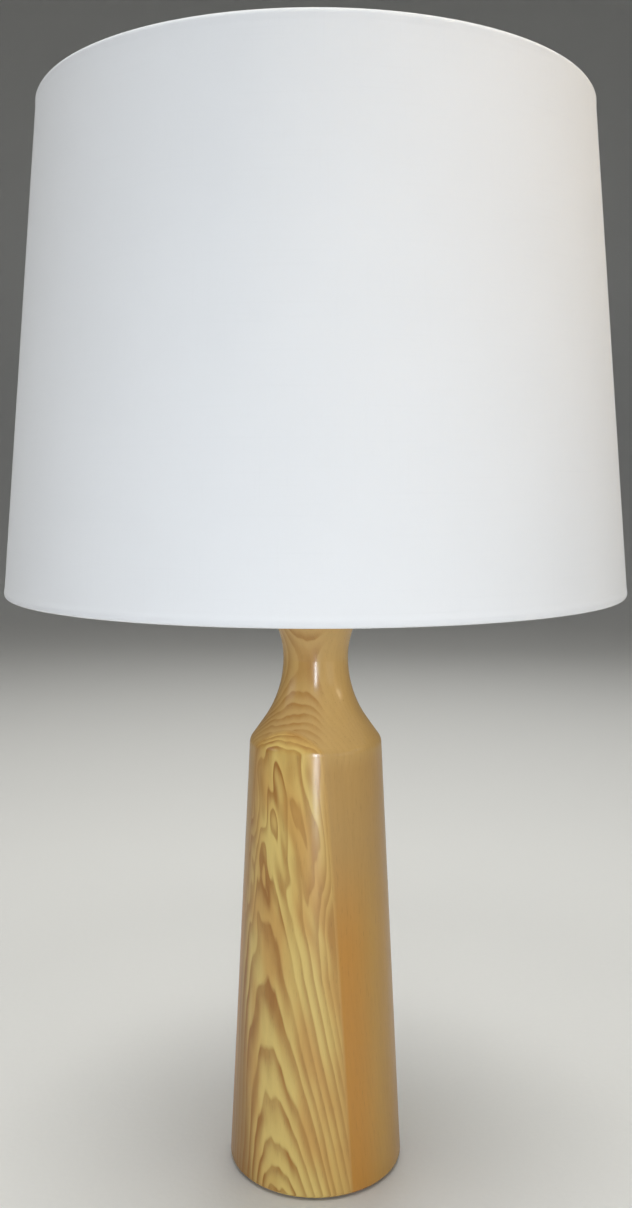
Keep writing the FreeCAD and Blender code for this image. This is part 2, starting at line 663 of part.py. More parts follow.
def on_wall(depth, height):
    """Point at a depth inside the cloth's outer face, at a height measured up the slant."""
    up = (-math.sin(math.radians(wall_lean)), math.cos(math.radians(wall_lean)))
    inward = (-up[1], up[0])
    return (SHADE_BOTTOM_RADIUS + up[0] * height + inward[0] * depth,
            shade_bottom + up[1] * height + inward[1] * depth)


def shade_fabric():
    """Cloth cone, its edges turned in over the two rings and slit where the arms pass."""
    low, high = edge_roll, wall_length - edge_roll
    inner = edge_roll - FABRIC_THICKNESS
    hem_face = edge_thickness - FABRIC_THICKNESS
    section = Section(*on_wall(0, low))
    section.arc(on_wall(edge_roll, high), edge_roll, wall_lean, wall_lean + 180)
    section.line(*on_wall(edge_thickness, high - HEM_LENGTH))
    section.line(*on_wall(hem_face, high - HEM_LENGTH))
    section.arc(on_wall(edge_roll, high), inner, wall_lean + 180, wall_lean)
    section.arc(on_wall(edge_roll, low), inner, wall_lean, wall_lean - 180)
    section.line(*on_wall(hem_face, low + HEM_LENGTH))
    section.line(*on_wall(edge_thickness, low + HEM_LENGTH))
    section.arc(on_wall(edge_roll, low), edge_roll, wall_lean - 180, wall_lean)
    return section.revolved().cut(spider_arms())


def shade_liner():
    outside = FABRIC_THICKNESS
    inside = FABRIC_THICKNESS + LINER_THICKNESS
    low, high = edge_roll, wall_length - edge_roll
    section = Section(*on_wall(outside, low))
    section.line(*on_wall(outside, high))
    section.line(*on_wall(inside, high))
    section.line(*on_wall(inside, low))
    return section.revolved()


ring_depth = FABRIC_THICKNESS + LINER_THICKNESS + RING_EASE + RING_WIRE_RADIUS
top_ring_radius, top_ring_z = on_wall(ring_depth, wall_length - edge_roll)
bottom_ring_radius, bottom_ring_z = on_wall(ring_depth, edge_roll)


def shade_ring(radius, z):
    return Part.makeTorus(radius, RING_WIRE_RADIUS, FreeCAD.Vector(0, 0, z))


def spider_hub():
    return ring(STUD_COLLAR_RADIUS + HUB_FIT, HUB_RADIUS, HUB_THICKNESS, hub_z)


def spider_arms():
    """Three wires: level from the hub, then bent up to the top ring."""
    level = hub_z + HUB_THICKNESS / 2
    weld = top_ring_radius - RING_WIRE_RADIUS / 2
    ramp_start = weld - ARM_RAMP
    slope = math.degrees(math.atan2(top_ring_z - level, ARM_RAMP))
    trim = ARM_BEND_RADIUS * math.tan(math.radians(slope / 2))
    path = Section(HUB_RADIUS - ARM_ANCHOR, level)
    path.arc((ramp_start - trim, level + ARM_BEND_RADIUS), ARM_BEND_RADIUS, -90, slope - 90)
    path.line(weld, top_ring_z)
    arm = bent_wire(path.wire(), ARM_WIRE_RADIUS)
    arm = arm.cut(spider_hub()).cut(shade_ring(top_ring_radius, top_ring_z))
    arm = max(arm.Solids, key=lambda solid: solid.Volume)
    return Part.makeCompound([turned(arm, ARM_FIRST_ANGLE + 360 / ARM_COUNT * number)
                              for number in range(ARM_COUNT)])


# ---- Finial ------------------------------------------------------------------------------------
def finial():
    """Turned brass knob: foot, hollow neck, ball and a small rounded tip."""
    foot_top = hub_top + FINIAL_FOOT
    spread = FINIAL_NECK_SPREAD
    neck_curve = FINIAL_NECK / 2 / math.sin(math.radians(spread))
    neck = (FINIAL_NECK_RADIUS + neck_curve, foot_top + FINIAL_NECK / 2)
    neck_end = on_circle(neck, neck_curve, 180 - spread)
    ball_rise = math.sqrt(FINIAL_BALL_RADIUS ** 2 - neck_end[0] ** 2)
    ball = (0, neck_end[1] + ball_rise)
    tip_angle = math.degrees(math.acos(FINIAL_TIP_RADIUS / FINIAL_BALL_RADIUS))
    tip = (0, ball[1] + FINIAL_BALL_RADIUS * math.sin(math.radians(tip_angle)))
    ball_start = math.degrees(math.atan2(-ball_rise, neck_end[0]))
    half_foot = FINIAL_FOOT / 2
    section = Section(0, hub_top)
    section.arc((FINIAL_FOOT_RADIUS - half_foot, hub_top + half_foot), half_foot, -90, 90)
    section.arc(neck, neck_curve, 180 + spread, 180 - spread)
    section.arc(ball, FINIAL_BALL_RADIUS, ball_start, tip_angle)
    section.arc(tip, FINIAL_TIP_RADIUS, 0, 90)
    bore = disc(STUD_THREAD_RADIUS + FINIAL_FIT, STUD_THREAD + FINIAL_BORE_SPARE, hub_top)
    return section.revolved().cut(bore)


# ---- Lamp socket -------------------------------------------------------------------------------
cup_inner = SOCKET_CAP_RADIUS - SOCKET_CAP_SHEET
shell_outer = cup_inner - SHELL_FIT
shell_inner = shell_outer - SHELL_SHEET
tube_outer = shell_inner - INSULATOR_FIT
tube_inner = tube_outer - INSULATOR_THICKNESS
body_radius = tube_inner - BODY_FIT
floor_z = cup_z + SOCKET_CAP_SHEET
body_z = floor_z + INSULATOR_FIT + INSULATOR_THICKNESS
body_top = body_z + BODY_HEIGHT
contact_top = body_top + CONTACT_RISE
terminal_z = body_z + TERMINAL_ABOVE_BODY_FOOT
terminal_x = body_radius - TERMINAL_POCKET
set_screw_z = socket_z + SOCKET_BOSS / 2


def socket_cap():
    """Pressed cup on a threaded boss."""
    outer_round = SOCKET_CAP_ROUND
    inner_round = SOCKET_CAP_ROUND - SOCKET_CAP_SHEET
    section = rounded_section([
        (pipe_thread, socket_z),
        (SOCKET_BOSS_RADIUS, socket_z),
        (SOCKET_BOSS_RADIUS, cup_z, SOCKET_CAP_SHEET),
        (SOCKET_CAP_RADIUS, cup_z, outer_round),
        (SOCKET_CAP_RADIUS, cap_rim_z),
        (cup_inner, cap_rim_z),
        (cup_inner, floor_z, inner_round),
        (pipe_thread, floor_z),
    ])
    cap = section.revolved()
    outside = 2 * SOCKET_BOSS_RADIUS
    return cap.cut(rod(SET_SCREW_RADIUS, (0, 0, set_screw_z), (0, outside, set_screw_z)))


def socket_cap_screw():
    """Headless screw through the boss, its tip on the pipe, with a slot at the outer end."""
    end = SOCKET_BOSS_RADIUS + SET_SCREW_PROUD
    screw = rod(SET_SCREW_RADIUS - THREAD_FIT, (0, PIPE_RADIUS, set_screw_z),
                (0, end, set_screw_z))
    screw = screw.cut(disc(pipe_thread, SOCKET_BOSS, socket_z))
    slot = block((-SET_SCREW_RADIUS, SET_SCREW_RADIUS), (end - SET_SCREW_PROUD, end),
                 (set_screw_z - TERMINAL_SLOT / 2, set_screw_z + TERMINAL_SLOT / 2))
    return screw.cut(slot)


def cap_insulator():
    """Fibre dish that lines the cap under the moulded body."""
    outer = cup_inner - INSULATOR_FIT
    bottom = floor_z + INSULATOR_FIT
    rim = shell_z - INSULATOR_FIT
    outer_round = SOCKET_CAP_ROUND - SOCKET_CAP_SHEET - INSULATOR_FIT
    inner_round = outer_round - INSULATOR_THICKNESS
    section = rounded_section([
        (pipe_hole, bottom),
        (outer, bottom, outer_round),
        (outer, rim),
        (outer - INSULATOR_THICKNESS, rim),
        (outer - INSULATOR_THICKNESS, bottom + INSULATOR_THICKNESS, inner_round),
        (pipe_hole, bottom + INSULATOR_THICKNESS),
    ])
    return section.revolved()


def spindle_slot(half_width, inner, outer, z):
    """Slot for the switch spindle, open at the lower edge of a tube."""
    passage = block((-half_width, half_width), (-outer, -inner), (z, spindle_z))
    return passage.fuse(rod(half_width, (0, -outer, spindle_z), (0, -inner, spindle_z)))


slot_half = SPINDLE_RADIUS + SPINDLE_SLOT_FIT


def socket_shell():
    """Outer shell with a rolled bead at its mouth and a slot for the switch spindle."""
    tube = disc(shell_outer, SHELL_LENGTH, shell_z)
    bead = Part.makeTorus(shell_outer, SHELL_BEAD_RADIUS,
                          FreeCAD.Vector(0, 0, shell_top - SHELL_BEAD_RADIUS))
    shell = tube.fuse(bead).cut(disc(shell_inner, SHELL_LENGTH, shell_z))
    return shell.cut(spindle_slot(slot_half, body_radius, 2 * shell_outer, shell_z))


def shell_insulator():
    """Paper tube between the metal shell and the live screw shell."""
    tube = ring(tube_inner, tube_outer, SHELL_LENGTH - INSULATOR_SETBACK, shell_z)
    return tube.cut(spindle_slot(slot_half, body_radius, shell_outer, shell_z))


def socket_body():
    """Moulded switch body: a foot rounded to the cap, terminal flats and the cam chamber."""
    foot_round = SOCKET_CAP_ROUND - SOCKET_CAP_SHEET - INSULATOR_FIT - INSULATOR_THICKNESS
    section = rounded_section([(0, body_z), (body_radius, body_z, foot_round),
                               (body_radius, body_top), (0, body_top)])
    body = section.revolved()
    pocket_height = TERMINAL_HEAD_RADIUS + TERMINAL_HEAD
    for side in (-1, 1):
        pocket = block(sorted((side * terminal_x, side * 2 * body_radius)),
                       (-pocket_height, pocket_height),
                       (terminal_z - pocket_height, terminal_z + pocket_height))
        hole = rod(TERMINAL_SHANK_RADIUS + THREAD_FIT, (0, 0, terminal_z),
                   (side * (terminal_x), 0, terminal_z))
        keep = disc(terminal_x - TERMINAL_SHANK, BODY_HEIGHT, body_z)
        body = body.cut(pocket).cut(hole.cut(keep))
    shaft = rod(SPINDLE_RADIUS + SPINDLE_FIT, (0, 0, spindle_z),
                (0, -2 * body_radius, spindle_z))
    cam_room = rod(CAM_RADIUS + CAM_FIT, (0, CAM_FIT - CAM_START, spindle_z),
                   (0, -CAM_START - CAM_LENGTH - CAM_FIT, spindle_z))
    behind = block((-body_radius, body_radius), (-CAM_START, body_radius), (body_z, body_top))
    return body.cut(shaft.cut(behind)).cut(cam_room)


def socket_screw_shell():
    """Drawn metal cup that takes the bulb, pierced in its floor for the contact."""
    outer, inner = SCREW_SHELL_RADIUS, SCREW_SHELL_RADIUS - SCREW_SHELL_SHEET
    section = rounded_section([
        (SCREW_SHELL_FLOOR_HOLE, body_top),
        (outer, body_top, 2 * SCREW_SHELL_SHEET),
        (outer, body_top + SCREW_SHELL_LENGTH),
        (inner, body_top + SCREW_SHELL_LENGTH),
        (inner, body_top + SCREW_SHELL_SHEET, SCREW_SHELL_SHEET),
        (SCREW_SHELL_FLOOR_HOLE, body_top + SCREW_SHELL_SHEET),
    ])
    return section.revolved()


def centre_contact():
    """Springy brass leaf, arched up under the bulb's tip."""
    half = CONTACT_LENGTH / 2
    rise = CONTACT_RISE - CONTACT_SHEET
    curve = (half ** 2 + rise ** 2) / (2 * rise)
    centre = (0, body_top + rise - curve)
    spread = math.degrees(math.asin(half / curve))
    section = Section(*on_circle(centre, curve, 90 - spread))
    section.arc(centre, curve + CONTACT_SHEET, 90 - spread, 90 + spread)
    section.arc(centre, curve, 90 + spread, 90 - spread)
    leaf = section.extruded(CONTACT_WIDTH)
    return leaf.cut(disc(2 * CONTACT_LENGTH, CONTACT_SHEET, body_top - CONTACT_SHEET))


def terminal_screws():
    screws = []
    for side in (-1, 1):
        seat, end = side * terminal_x, side * (terminal_x + TERMINAL_HEAD)
        head = rod(TERMINAL_HEAD_RADIUS, (seat, 0, terminal_z), (end, 0, terminal_z))
        shank = rod(TERMINAL_SHANK_RADIUS, (seat - side * TERMINAL_SHANK, 0, terminal_z),
                    (seat, 0, terminal_z))
        slot = block(sorted((end - side * TERMINAL_SLOT, end)),
                     (-TERMINAL_HEAD_RADIUS, TERMINAL_HEAD_RADIUS),
                     (terminal_z - TERMINAL_SLOT / 2, terminal_z + TERMINAL_SLOT / 2))
        screws.append(head.fuse(shank).cut(slot))
    return Part.makeCompound(screws)


# ---- Switch ------------------------------------------------------------------------------------
def switch_spindle():
    """Spindle with its contact cam, a disc with two flats."""
    spindle = rod(SPINDLE_RADIUS, (0, -CAM_START, spindle_z), (0, -SPINDLE_REACH, spindle_z))
    cam = rod(CAM_RADIUS, (0, -CAM_START, spindle_z), (0, -CAM_START - CAM_LENGTH, spindle_z))
    flats = block((-CAM_RADIUS, CAM_RADIUS), (-CAM_START - CAM_LENGTH, -CAM_START),
                  (spindle_z - SPINDLE_RADIUS, spindle_z + SPINDLE_RADIUS))
    return spindle.fuse(cam.common(flats))


def switch_knob():
    """Tapered, fluted knob pressed on the spindle."""
    section = rounded_section([
        (0, 0),
        (KNOB_RADIUS, 0, KNOB_ROUND),
        (KNOB_TIP_RADIUS, KNOB_LENGTH, KNOB_ROUND),
        (0, KNOB_LENGTH),
    ])
    knob = section.revolved()
    outside = KNOB_FLUTE_OUTSIDE * KNOB_FLUTE_RADIUS
    for number in range(KNOB_FLUTES):
        groove = rod(KNOB_FLUTE_RADIUS,
                     (KNOB_RADIUS + outside, 0, 2 * KNOB_ROUND),
                     (KNOB_TIP_RADIUS + outside, 0, 2 * KNOB_LENGTH))
        knob = knob.cut(turned(groove, 360 / KNOB_FLUTES * number))
    knob = turned(knob, 90, FreeCAD.Vector(1, 0, 0))
    knob.translate(FreeCAD.Vector(0, -KNOB_START, spindle_z))
    return knob.cut(rod(SPINDLE_RADIUS, (0, 0, spindle_z), (0, -SPINDLE_REACH, spindle_z)))


# ---- Bulb --------------------------------------------------------------------------------------
tip_z = contact_top + BULB_SEAT_GAP
neck_end_z = tip_z + BULB_NECK_RISE
base_bottom = tip_z + BULB_BASE_BOTTOM
base_top = tip_z + BULB_BASE_TOP
stem_top = tip_z + STEM_RISE
globe = (0, tip_z + BULB_LENGTH - BULB_RADIUS)
globe_rise = globe[1] - neck_end_z

# Radius of the hollow that blends the straight neck into the round of the bulb.
neck_blend = ((BULB_NECK_RADIUS ** 2 + globe_rise ** 2 - BULB_RADIUS ** 2)
              / (2 * (BULB_RADIUS - BULB_NECK_RADIUS)))
blend = (BULB_NECK_RADIUS + neck_blend, neck_end_z)
blend_angle = math.degrees(math.atan2(globe_rise, blend[0]))
glass_foot = base_bottom + GLASS_IN_BASE * BULB_NECK_RADIUS


def bulb_glass():
    """Blown envelope: straight neck, hollow blend and round bulb, open at the foot."""
    inner_neck = BULB_NECK_RADIUS - BULB_GLASS
    section = Section(inner_neck, glass_foot)
    section.line(BULB_NECK_RADIUS, glass_foot)
    section.arc(blend, neck_blend, 180, 180 - blend_angle)
    section.arc(globe, BULB_RADIUS, -blend_angle, 90)
    section.arc(globe, BULB_RADIUS - BULB_GLASS, 90, -blend_angle)
    section.arc(blend, neck_blend + BULB_GLASS, 180 - blend_angle, 180)
    return section.revolved()


def bulb_base():
    """Metal base with a turned-in foot."""
    inner = BULB_BASE_RADIUS - BULB_BASE_SHEET
    lip = BULB_BASE_LIP * BULB_BASE_SHEET
    section = rounded_section([
        (inner - lip, base_bottom),
        (BULB_BASE_RADIUS, base_bottom, lip),
        (BULB_BASE_RADIUS, base_top),
        (inner, base_top),
        (inner, base_bottom + BULB_BASE_SHEET, lip - BULB_BASE_SHEET),
        (inner - lip, base_bottom + BULB_BASE_SHEET),
    ])
    return section.revolved()


def bulb_insulator():
    """Glass button between the base and its tip."""
    section = Section(0, tip_z + BULB_TIP)
    section.line(BULB_TIP_RADIUS, tip_z + BULB_TIP)
    section.line(BULB_BASE_RADIUS - (BULB_BASE_LIP + 1) * BULB_BASE_SHEET, base_bottom)
    section.line(0, base_bottom)
    return section.revolved()


def bulb_tip():
    section = rounded_section([(0, tip_z), (BULB_TIP_RADIUS, tip_z, BULB_TIP_ROUND * BULB_TIP),
                               (BULB_TIP_RADIUS, tip_z + BULB_TIP), (0, tip_z + BULB_TIP)])
    return section.revolved()


def bulb_stem():
    """Glass stem that flares to close the neck."""
    skirt = BULB_NECK_RADIUS - BULB_GLASS
    section = rounded_section([
        (0, glass_foot),
        (skirt, glass_foot),
        (skirt, glass_foot + BULB_GLASS),
        (STEM_RADIUS, glass_foot + STEM_SKIRT, STEM_SKIRT / 2),
        (STEM_RADIUS, stem_top, STEM_TOP_ROUND * STEM_RADIUS),
        (0, stem_top),
    ])
    return section.revolved()


def filament():
    """Two lead wires from the stem and the filament that arches between them."""
    foot, top = stem_top - STEM_RADIUS, stem_top + FILAMENT_RISE
    lead = (FILAMENT_HALF_SPAN, top)
    sag = FILAMENT_LEAD_BEND
    path = rounded_section([
        (STEM_RADIUS - 2 * FILAMENT_WIRE_RADIUS, foot), (*lead, sag), (-lead[0], top, sag),
        (2 * FILAMENT_WIRE_RADIUS - STEM_RADIUS, foot),
    ])
    return bent_wire(path.wire(), FILAMENT_WIRE_RADIUS).cut(bulb_stem())


PIECES = {
    "column": column(),
    "felt_pad": felt_pad(),
    "cord_bushing": cord_bushing(),
    "threaded_pipe": threaded_pipe(),
    "base_washer": base_washer(),
    "base_lock_washer": split_washer(nut_z + NUT_THICKNESS),
    "base_nut": base_nut(),
    "vase_cap": vase_cap(),
    "neck_spacer": neck_spacer(),
    "harp_saddle": harp_saddle(),
    "saddle_lock_washer": split_washer(saddle_top),
    "socket_cap": socket_cap(),
    "socket_cap_screw": socket_cap_screw(),
    "cap_insulator": cap_insulator(),
    "socket_shell": socket_shell(),
    "shell_insulator": shell_insulator(),
    "socket_body": socket_body(),
    "socket_screw_shell": socket_screw_shell(),
    "centre_contact": centre_contact(),
    "terminal_screws": terminal_screws(),
    "switch_spindle": switch_spindle(),
    "switch_knob": switch_knob(),
    "bulb_glass": bulb_glass(),
    "bulb_base": bulb_base(),
    "bulb_insulator": bulb_insulator(),
    "bulb_tip": bulb_tip(),
    "bulb_stem": bulb_stem(),
    "filament": filament(),
    "harp_wire": harp_wire(),
    "harp_sleeve_left": harp_sleeve(-1),
    "harp_sleeve_right": harp_sleeve(1),
    "harp_stud": harp_stud(),
    "spider_hub": spider_hub(),
    "spider_arms": spider_arms(),
    "top_ring": shade_ring(top_ring_radius, top_ring_z),
    "bottom_ring": shade_ring(bottom_ring_radius, bottom_ring_z),
    "shade_liner": shade_liner(),
    "shade_fabric": shade_fabric(),
    "finial": finial(),
}

os.makedirs("parts", exist_ok=True)
for name, shape in PIECES.items():
    box = shape.BoundBox
    print(f"{name:20s} valid={shape.isValid()} solids={len(shape.Solids)} "
          f"volume={shape.Volume / 1000:9.3f} cm3  z {box.ZMin:7.2f}..{box.ZMax:7.2f}")
    shape.exportStep(f"parts/{name}.step")
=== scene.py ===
import json
import math

import bmesh
import bpy
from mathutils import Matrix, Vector


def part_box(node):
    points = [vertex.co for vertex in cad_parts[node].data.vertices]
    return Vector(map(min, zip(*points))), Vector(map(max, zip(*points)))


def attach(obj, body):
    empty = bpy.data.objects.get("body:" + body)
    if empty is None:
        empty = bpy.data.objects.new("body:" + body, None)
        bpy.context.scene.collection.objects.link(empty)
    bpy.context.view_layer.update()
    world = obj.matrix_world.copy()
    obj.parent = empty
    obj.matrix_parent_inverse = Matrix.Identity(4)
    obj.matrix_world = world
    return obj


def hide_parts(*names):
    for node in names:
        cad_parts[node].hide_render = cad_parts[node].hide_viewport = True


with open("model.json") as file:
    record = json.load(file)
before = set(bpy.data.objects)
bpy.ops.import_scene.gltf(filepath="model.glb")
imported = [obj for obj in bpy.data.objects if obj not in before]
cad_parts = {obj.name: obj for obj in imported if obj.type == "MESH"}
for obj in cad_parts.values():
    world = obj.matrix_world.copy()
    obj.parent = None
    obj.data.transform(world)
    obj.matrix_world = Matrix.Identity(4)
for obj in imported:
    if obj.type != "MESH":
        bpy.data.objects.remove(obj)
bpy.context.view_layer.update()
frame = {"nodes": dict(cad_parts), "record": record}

nodes = frame["nodes"]

# ---- Sizes in metres ---------------------------------------------------------------------------
SHADE_BOTTOM_RADIUS = 0.2032
SHADE_TOP_RADIUS = 0.1756
SHADE_HEIGHT = 0.3056
SHADE_FOOT = 0.4017          # height of the shade's lower edge
CLOTH = 0.0005               # thickness of the cloth
EDGE_ROLL = 0.00235          # cloth rolled round ring wire and liner
HEM = 0.012                  # cloth turned in beyond the roll
BEAD = 0.00028               # how far the roll stands out of the wall
LAP = 0.009                  # cloth lapped at the back seam
LAP_STEP = 0.00055           # cloth on top of cloth at the lap
SEAM_BEARING = 101           # degrees, just beside the arm at the back
THREAD_PITCH = 0.00363       # seven turns to the inch
THREAD_DEPTH = 0.0008
SHELL_SHEET = 0.0004
CLOTH_SEGMENTS = 240         # round the shade
PIPE_THREAD = (0.00094, 0.0, 0.43, 0.0003)    # pitch, lower end, upper end and depth
WEAVE_PITCH = 0.00046


def srgb(red, green, blue):
    """A screen colour given in 0 to 255, as light."""
    def channel(value):
        value /= 255
        return value / 12.92 if value <= 0.04045 else ((value + 0.055) / 1.055) ** 2.4
    return (channel(red), channel(green), channel(blue), 1.0)


# ---- Node trees written as expressions ---------------------------------------------------------
class Amount:
    """A socket whose value changes over a piece; arithmetic on it adds Math nodes."""

    def __init__(self, owner, socket):
        self.owner = owner
        self.socket = socket

    def maths(self, operation, *values):
        return self.owner.node("ShaderNodeMath", {"operation": operation},
                               dict(enumerate(values)))

    def __add__(self, other):
        return self.maths("ADD", self, other)

    def __radd__(self, other):
        return self.maths("ADD", other, self)

    def __sub__(self, other):
        return self.maths("SUBTRACT", self, other)

    def __rsub__(self, other):
        return self.maths("SUBTRACT", other, self)

    def __mul__(self, other):
        return self.maths("MULTIPLY", self, other)

    def __rmul__(self, other):
        return self.maths("MULTIPLY", other, self)

    def __truediv__(self, other):
        return self.maths("DIVIDE", self, other)

    def __pow__(self, other):
        return self.maths("POWER", self, other)

    def __abs__(self):
        return self.maths("ABSOLUTE", self)

    def least(self, other):
        return self.maths("MINIMUM", self, other)

    def most(self, other):
        return self.maths("MAXIMUM", self, other)

    def whole(self):
        return self.maths("FLOOR", self)

    def fraction(self):
        return self.maths("FRACT", self)

    def above(self, limit):
        return self.maths("GREATER_THAN", self, limit)

    def sine(self):
        return self.maths("SINE", self)

    def cosine(self):
        return self.maths("COSINE", self)

    def turn_from(self, other):
        return self.maths("ARCTAN2", self, other)


class Tree:
    """A node tree with one method that adds any node."""

    def __init__(self, tree):
        self.tree = tree

    def node(self, kind, settings=None, inputs=None, output=0):
        """A new node with its settings, its values and links, and one of its outputs."""
        made = self.tree.nodes.new(kind)
        for name, value in (settings or {}).items():
            if name == "stops":
                self.set_stops(made.color_ramp, value)
            else:
                setattr(made, name, value)
        for key, value in (inputs or {}).items():
            self.feed(made.inputs[key], value)
        return Amount(self, made.outputs[output] if len(made.outputs) else None)

    def feed(self, socket, value):
        if isinstance(value, Amount):
            self.tree.links.new(value.socket, socket)
        else:
            socket.default_value = value

    @staticmethod
    def set_stops(ramp, stops):
        """Positions of a ramp with the value or colour at each."""
        while len(ramp.elements) > 1:
            ramp.elements.remove(ramp.elements[-1])
        for index, (position, value) in enumerate(stops):
            mark = ramp.elements[0] if index == 0 else ramp.elements.new(position)
            mark.position = position
            mark.color = value if isinstance(value, tuple) else (value, value, value, 1.0)

    def parts(self, vector):
        """The three amounts that a vector is made of."""
        split = self.node("ShaderNodeSeparateXYZ", {}, {0: vector}).socket.node
        return [Amount(self, socket) for socket in split.outputs]

    def joined(self, x, y, z):
        return self.node("ShaderNodeCombineXYZ", {}, {0: x, 1: y, 2: z})

    def slope(self, value, low, high, start=0.0, end=1.0):
        """Smooth change from start to end while value goes from low to high."""
        return self.node("ShaderNodeMapRange", {"interpolation_type": "SMOOTHSTEP"},
                         {"Value": value, "From Min": low, "From Max": high,
                          "To Min": start, "To Max": end})


class Finish(Tree):
    """A material of one of the lamp's pieces."""

    def __init__(self, name):
        self.material = bpy.data.materials.new(name)
        self.material.use_nodes = True
        super().__init__(self.material.node_tree)
        self.tree.nodes.clear()
        self.place = self.node("ShaderNodeTexCoord", output="Object")

    def scaled(self, vector, x, y, z):
        return self.node("ShaderNodeMapping", {}, {"Vector": vector, "Scale": (x, y, z)})

    def noise(self, vector, scale=1.0, detail=2.0, roughness=0.5, distortion=0.0):
        return self.node("ShaderNodeTexNoise", {},
                         {"Vector": vector, "Scale": scale, "Detail": detail,
                          "Roughness": roughness, "Distortion": distortion})

    def ramp(self, value, *stops):
        return self.node("ShaderNodeValToRGB", {"stops": stops}, {"Fac": value}, "Color")

    def mix(self, first, second, share):
        """Colour between two colours."""
        return self.node("ShaderNodeMix", {"data_type": "RGBA"},
                         {0: share, 6: first, 7: second}, 2)

    def shaded(self, colour, level):
        """Colour made lighter or darker by a number near one."""
        return self.node("ShaderNodeVectorMath", {"operation": "SCALE"},
                         {0: colour, "Scale": level})

    def relief(self, height, depth):
        """Normal of a surface whose height is given from 0 to 1 over a depth in metres."""
        return self.node("ShaderNodeBump", {}, {"Height": height, "Distance": depth}, "Normal")

    def close(self, **sockets):
        """The shader itself; keywords are its sockets, with _ for a space."""
        named = {key.replace("_", " "): value for key, value in sockets.items()}
        shader = self.node("ShaderNodeBsdfPrincipled", {}, named, "BSDF")
        self.node("ShaderNodeOutputMaterial", {}, {"Surface": shader})
        return self.material


# ---- Wood --------------------------------------------------------------------------------------
MILLIMETRES = 1000.0         # in a metre; rings and joints are laid out in millimetres
RING_START = 36.0            # from the lamp's axis
RING_WIDTHS = (2.2, 2.4, 2.8, 3.1, 2.6, 2.2, 1.8, 2.2, 1.5, 1.4, 1.0, 0.7, 1.1)
PITH_BEHIND = 150.0          # from the axis to the pith of the outer boards
INNER_RINGS = 0.34           # rings to a millimetre in the middle board
GLUE_LINE = 37.1             # from the axis to the joint between boards
GLUE_SOFTNESS = 0.9
ACROSS_BOARDS = (-0.466, -0.885)     # direction at right angles to the joints
GRAIN_LEAN = 0.2             # how far the fibres run sideways for each unit of height

# Turn of the growth rings about the axis, in radians and radians to a metre of height.
RINGS_FACE = -0.5236
TURN_LOW, TURN_LOW_FROM, TURN_LOW_TO = 2.094, 0.06, 0.15
TURN_HIGH, TURN_HIGH_FROM = 2.0, 0.18

# Waves to a metre, twice across the grain and once along it.
SLOW_DRIFT = (32, 32, 9)
QUICK_DRIFT = (105, 105, 13)
PATCHES = (70, 70, 13)
TONES = (40, 40, 9)
FIBRES = (620, 620, 16)
STREAKS = (190, 190, 7)
PORES = (2100, 2100, 90)

PALE = srgb(219, 191, 112)
PALE_GOLDEN = srgb(203, 160, 87)
# Painted shade: pale wood darkened on its left flank, as seen from the camera, where less light
# falls.
PALE_FLANK_PAINTED_SHADE = srgb(168, 130, 72)
PALE_AT_JOINT = srgb(192, 148, 80)
PLAIN = srgb(186, 142, 68)
PLAIN_AT_JOINT = srgb(188, 132, 54)
PLAIN_UPPER = srgb(179, 141, 82)
PLAIN_NECK = srgb(188, 152, 92)
VEIN_PLAIN = srgb(156, 106, 46)
VEIN_PALE = srgb(160, 108, 46)


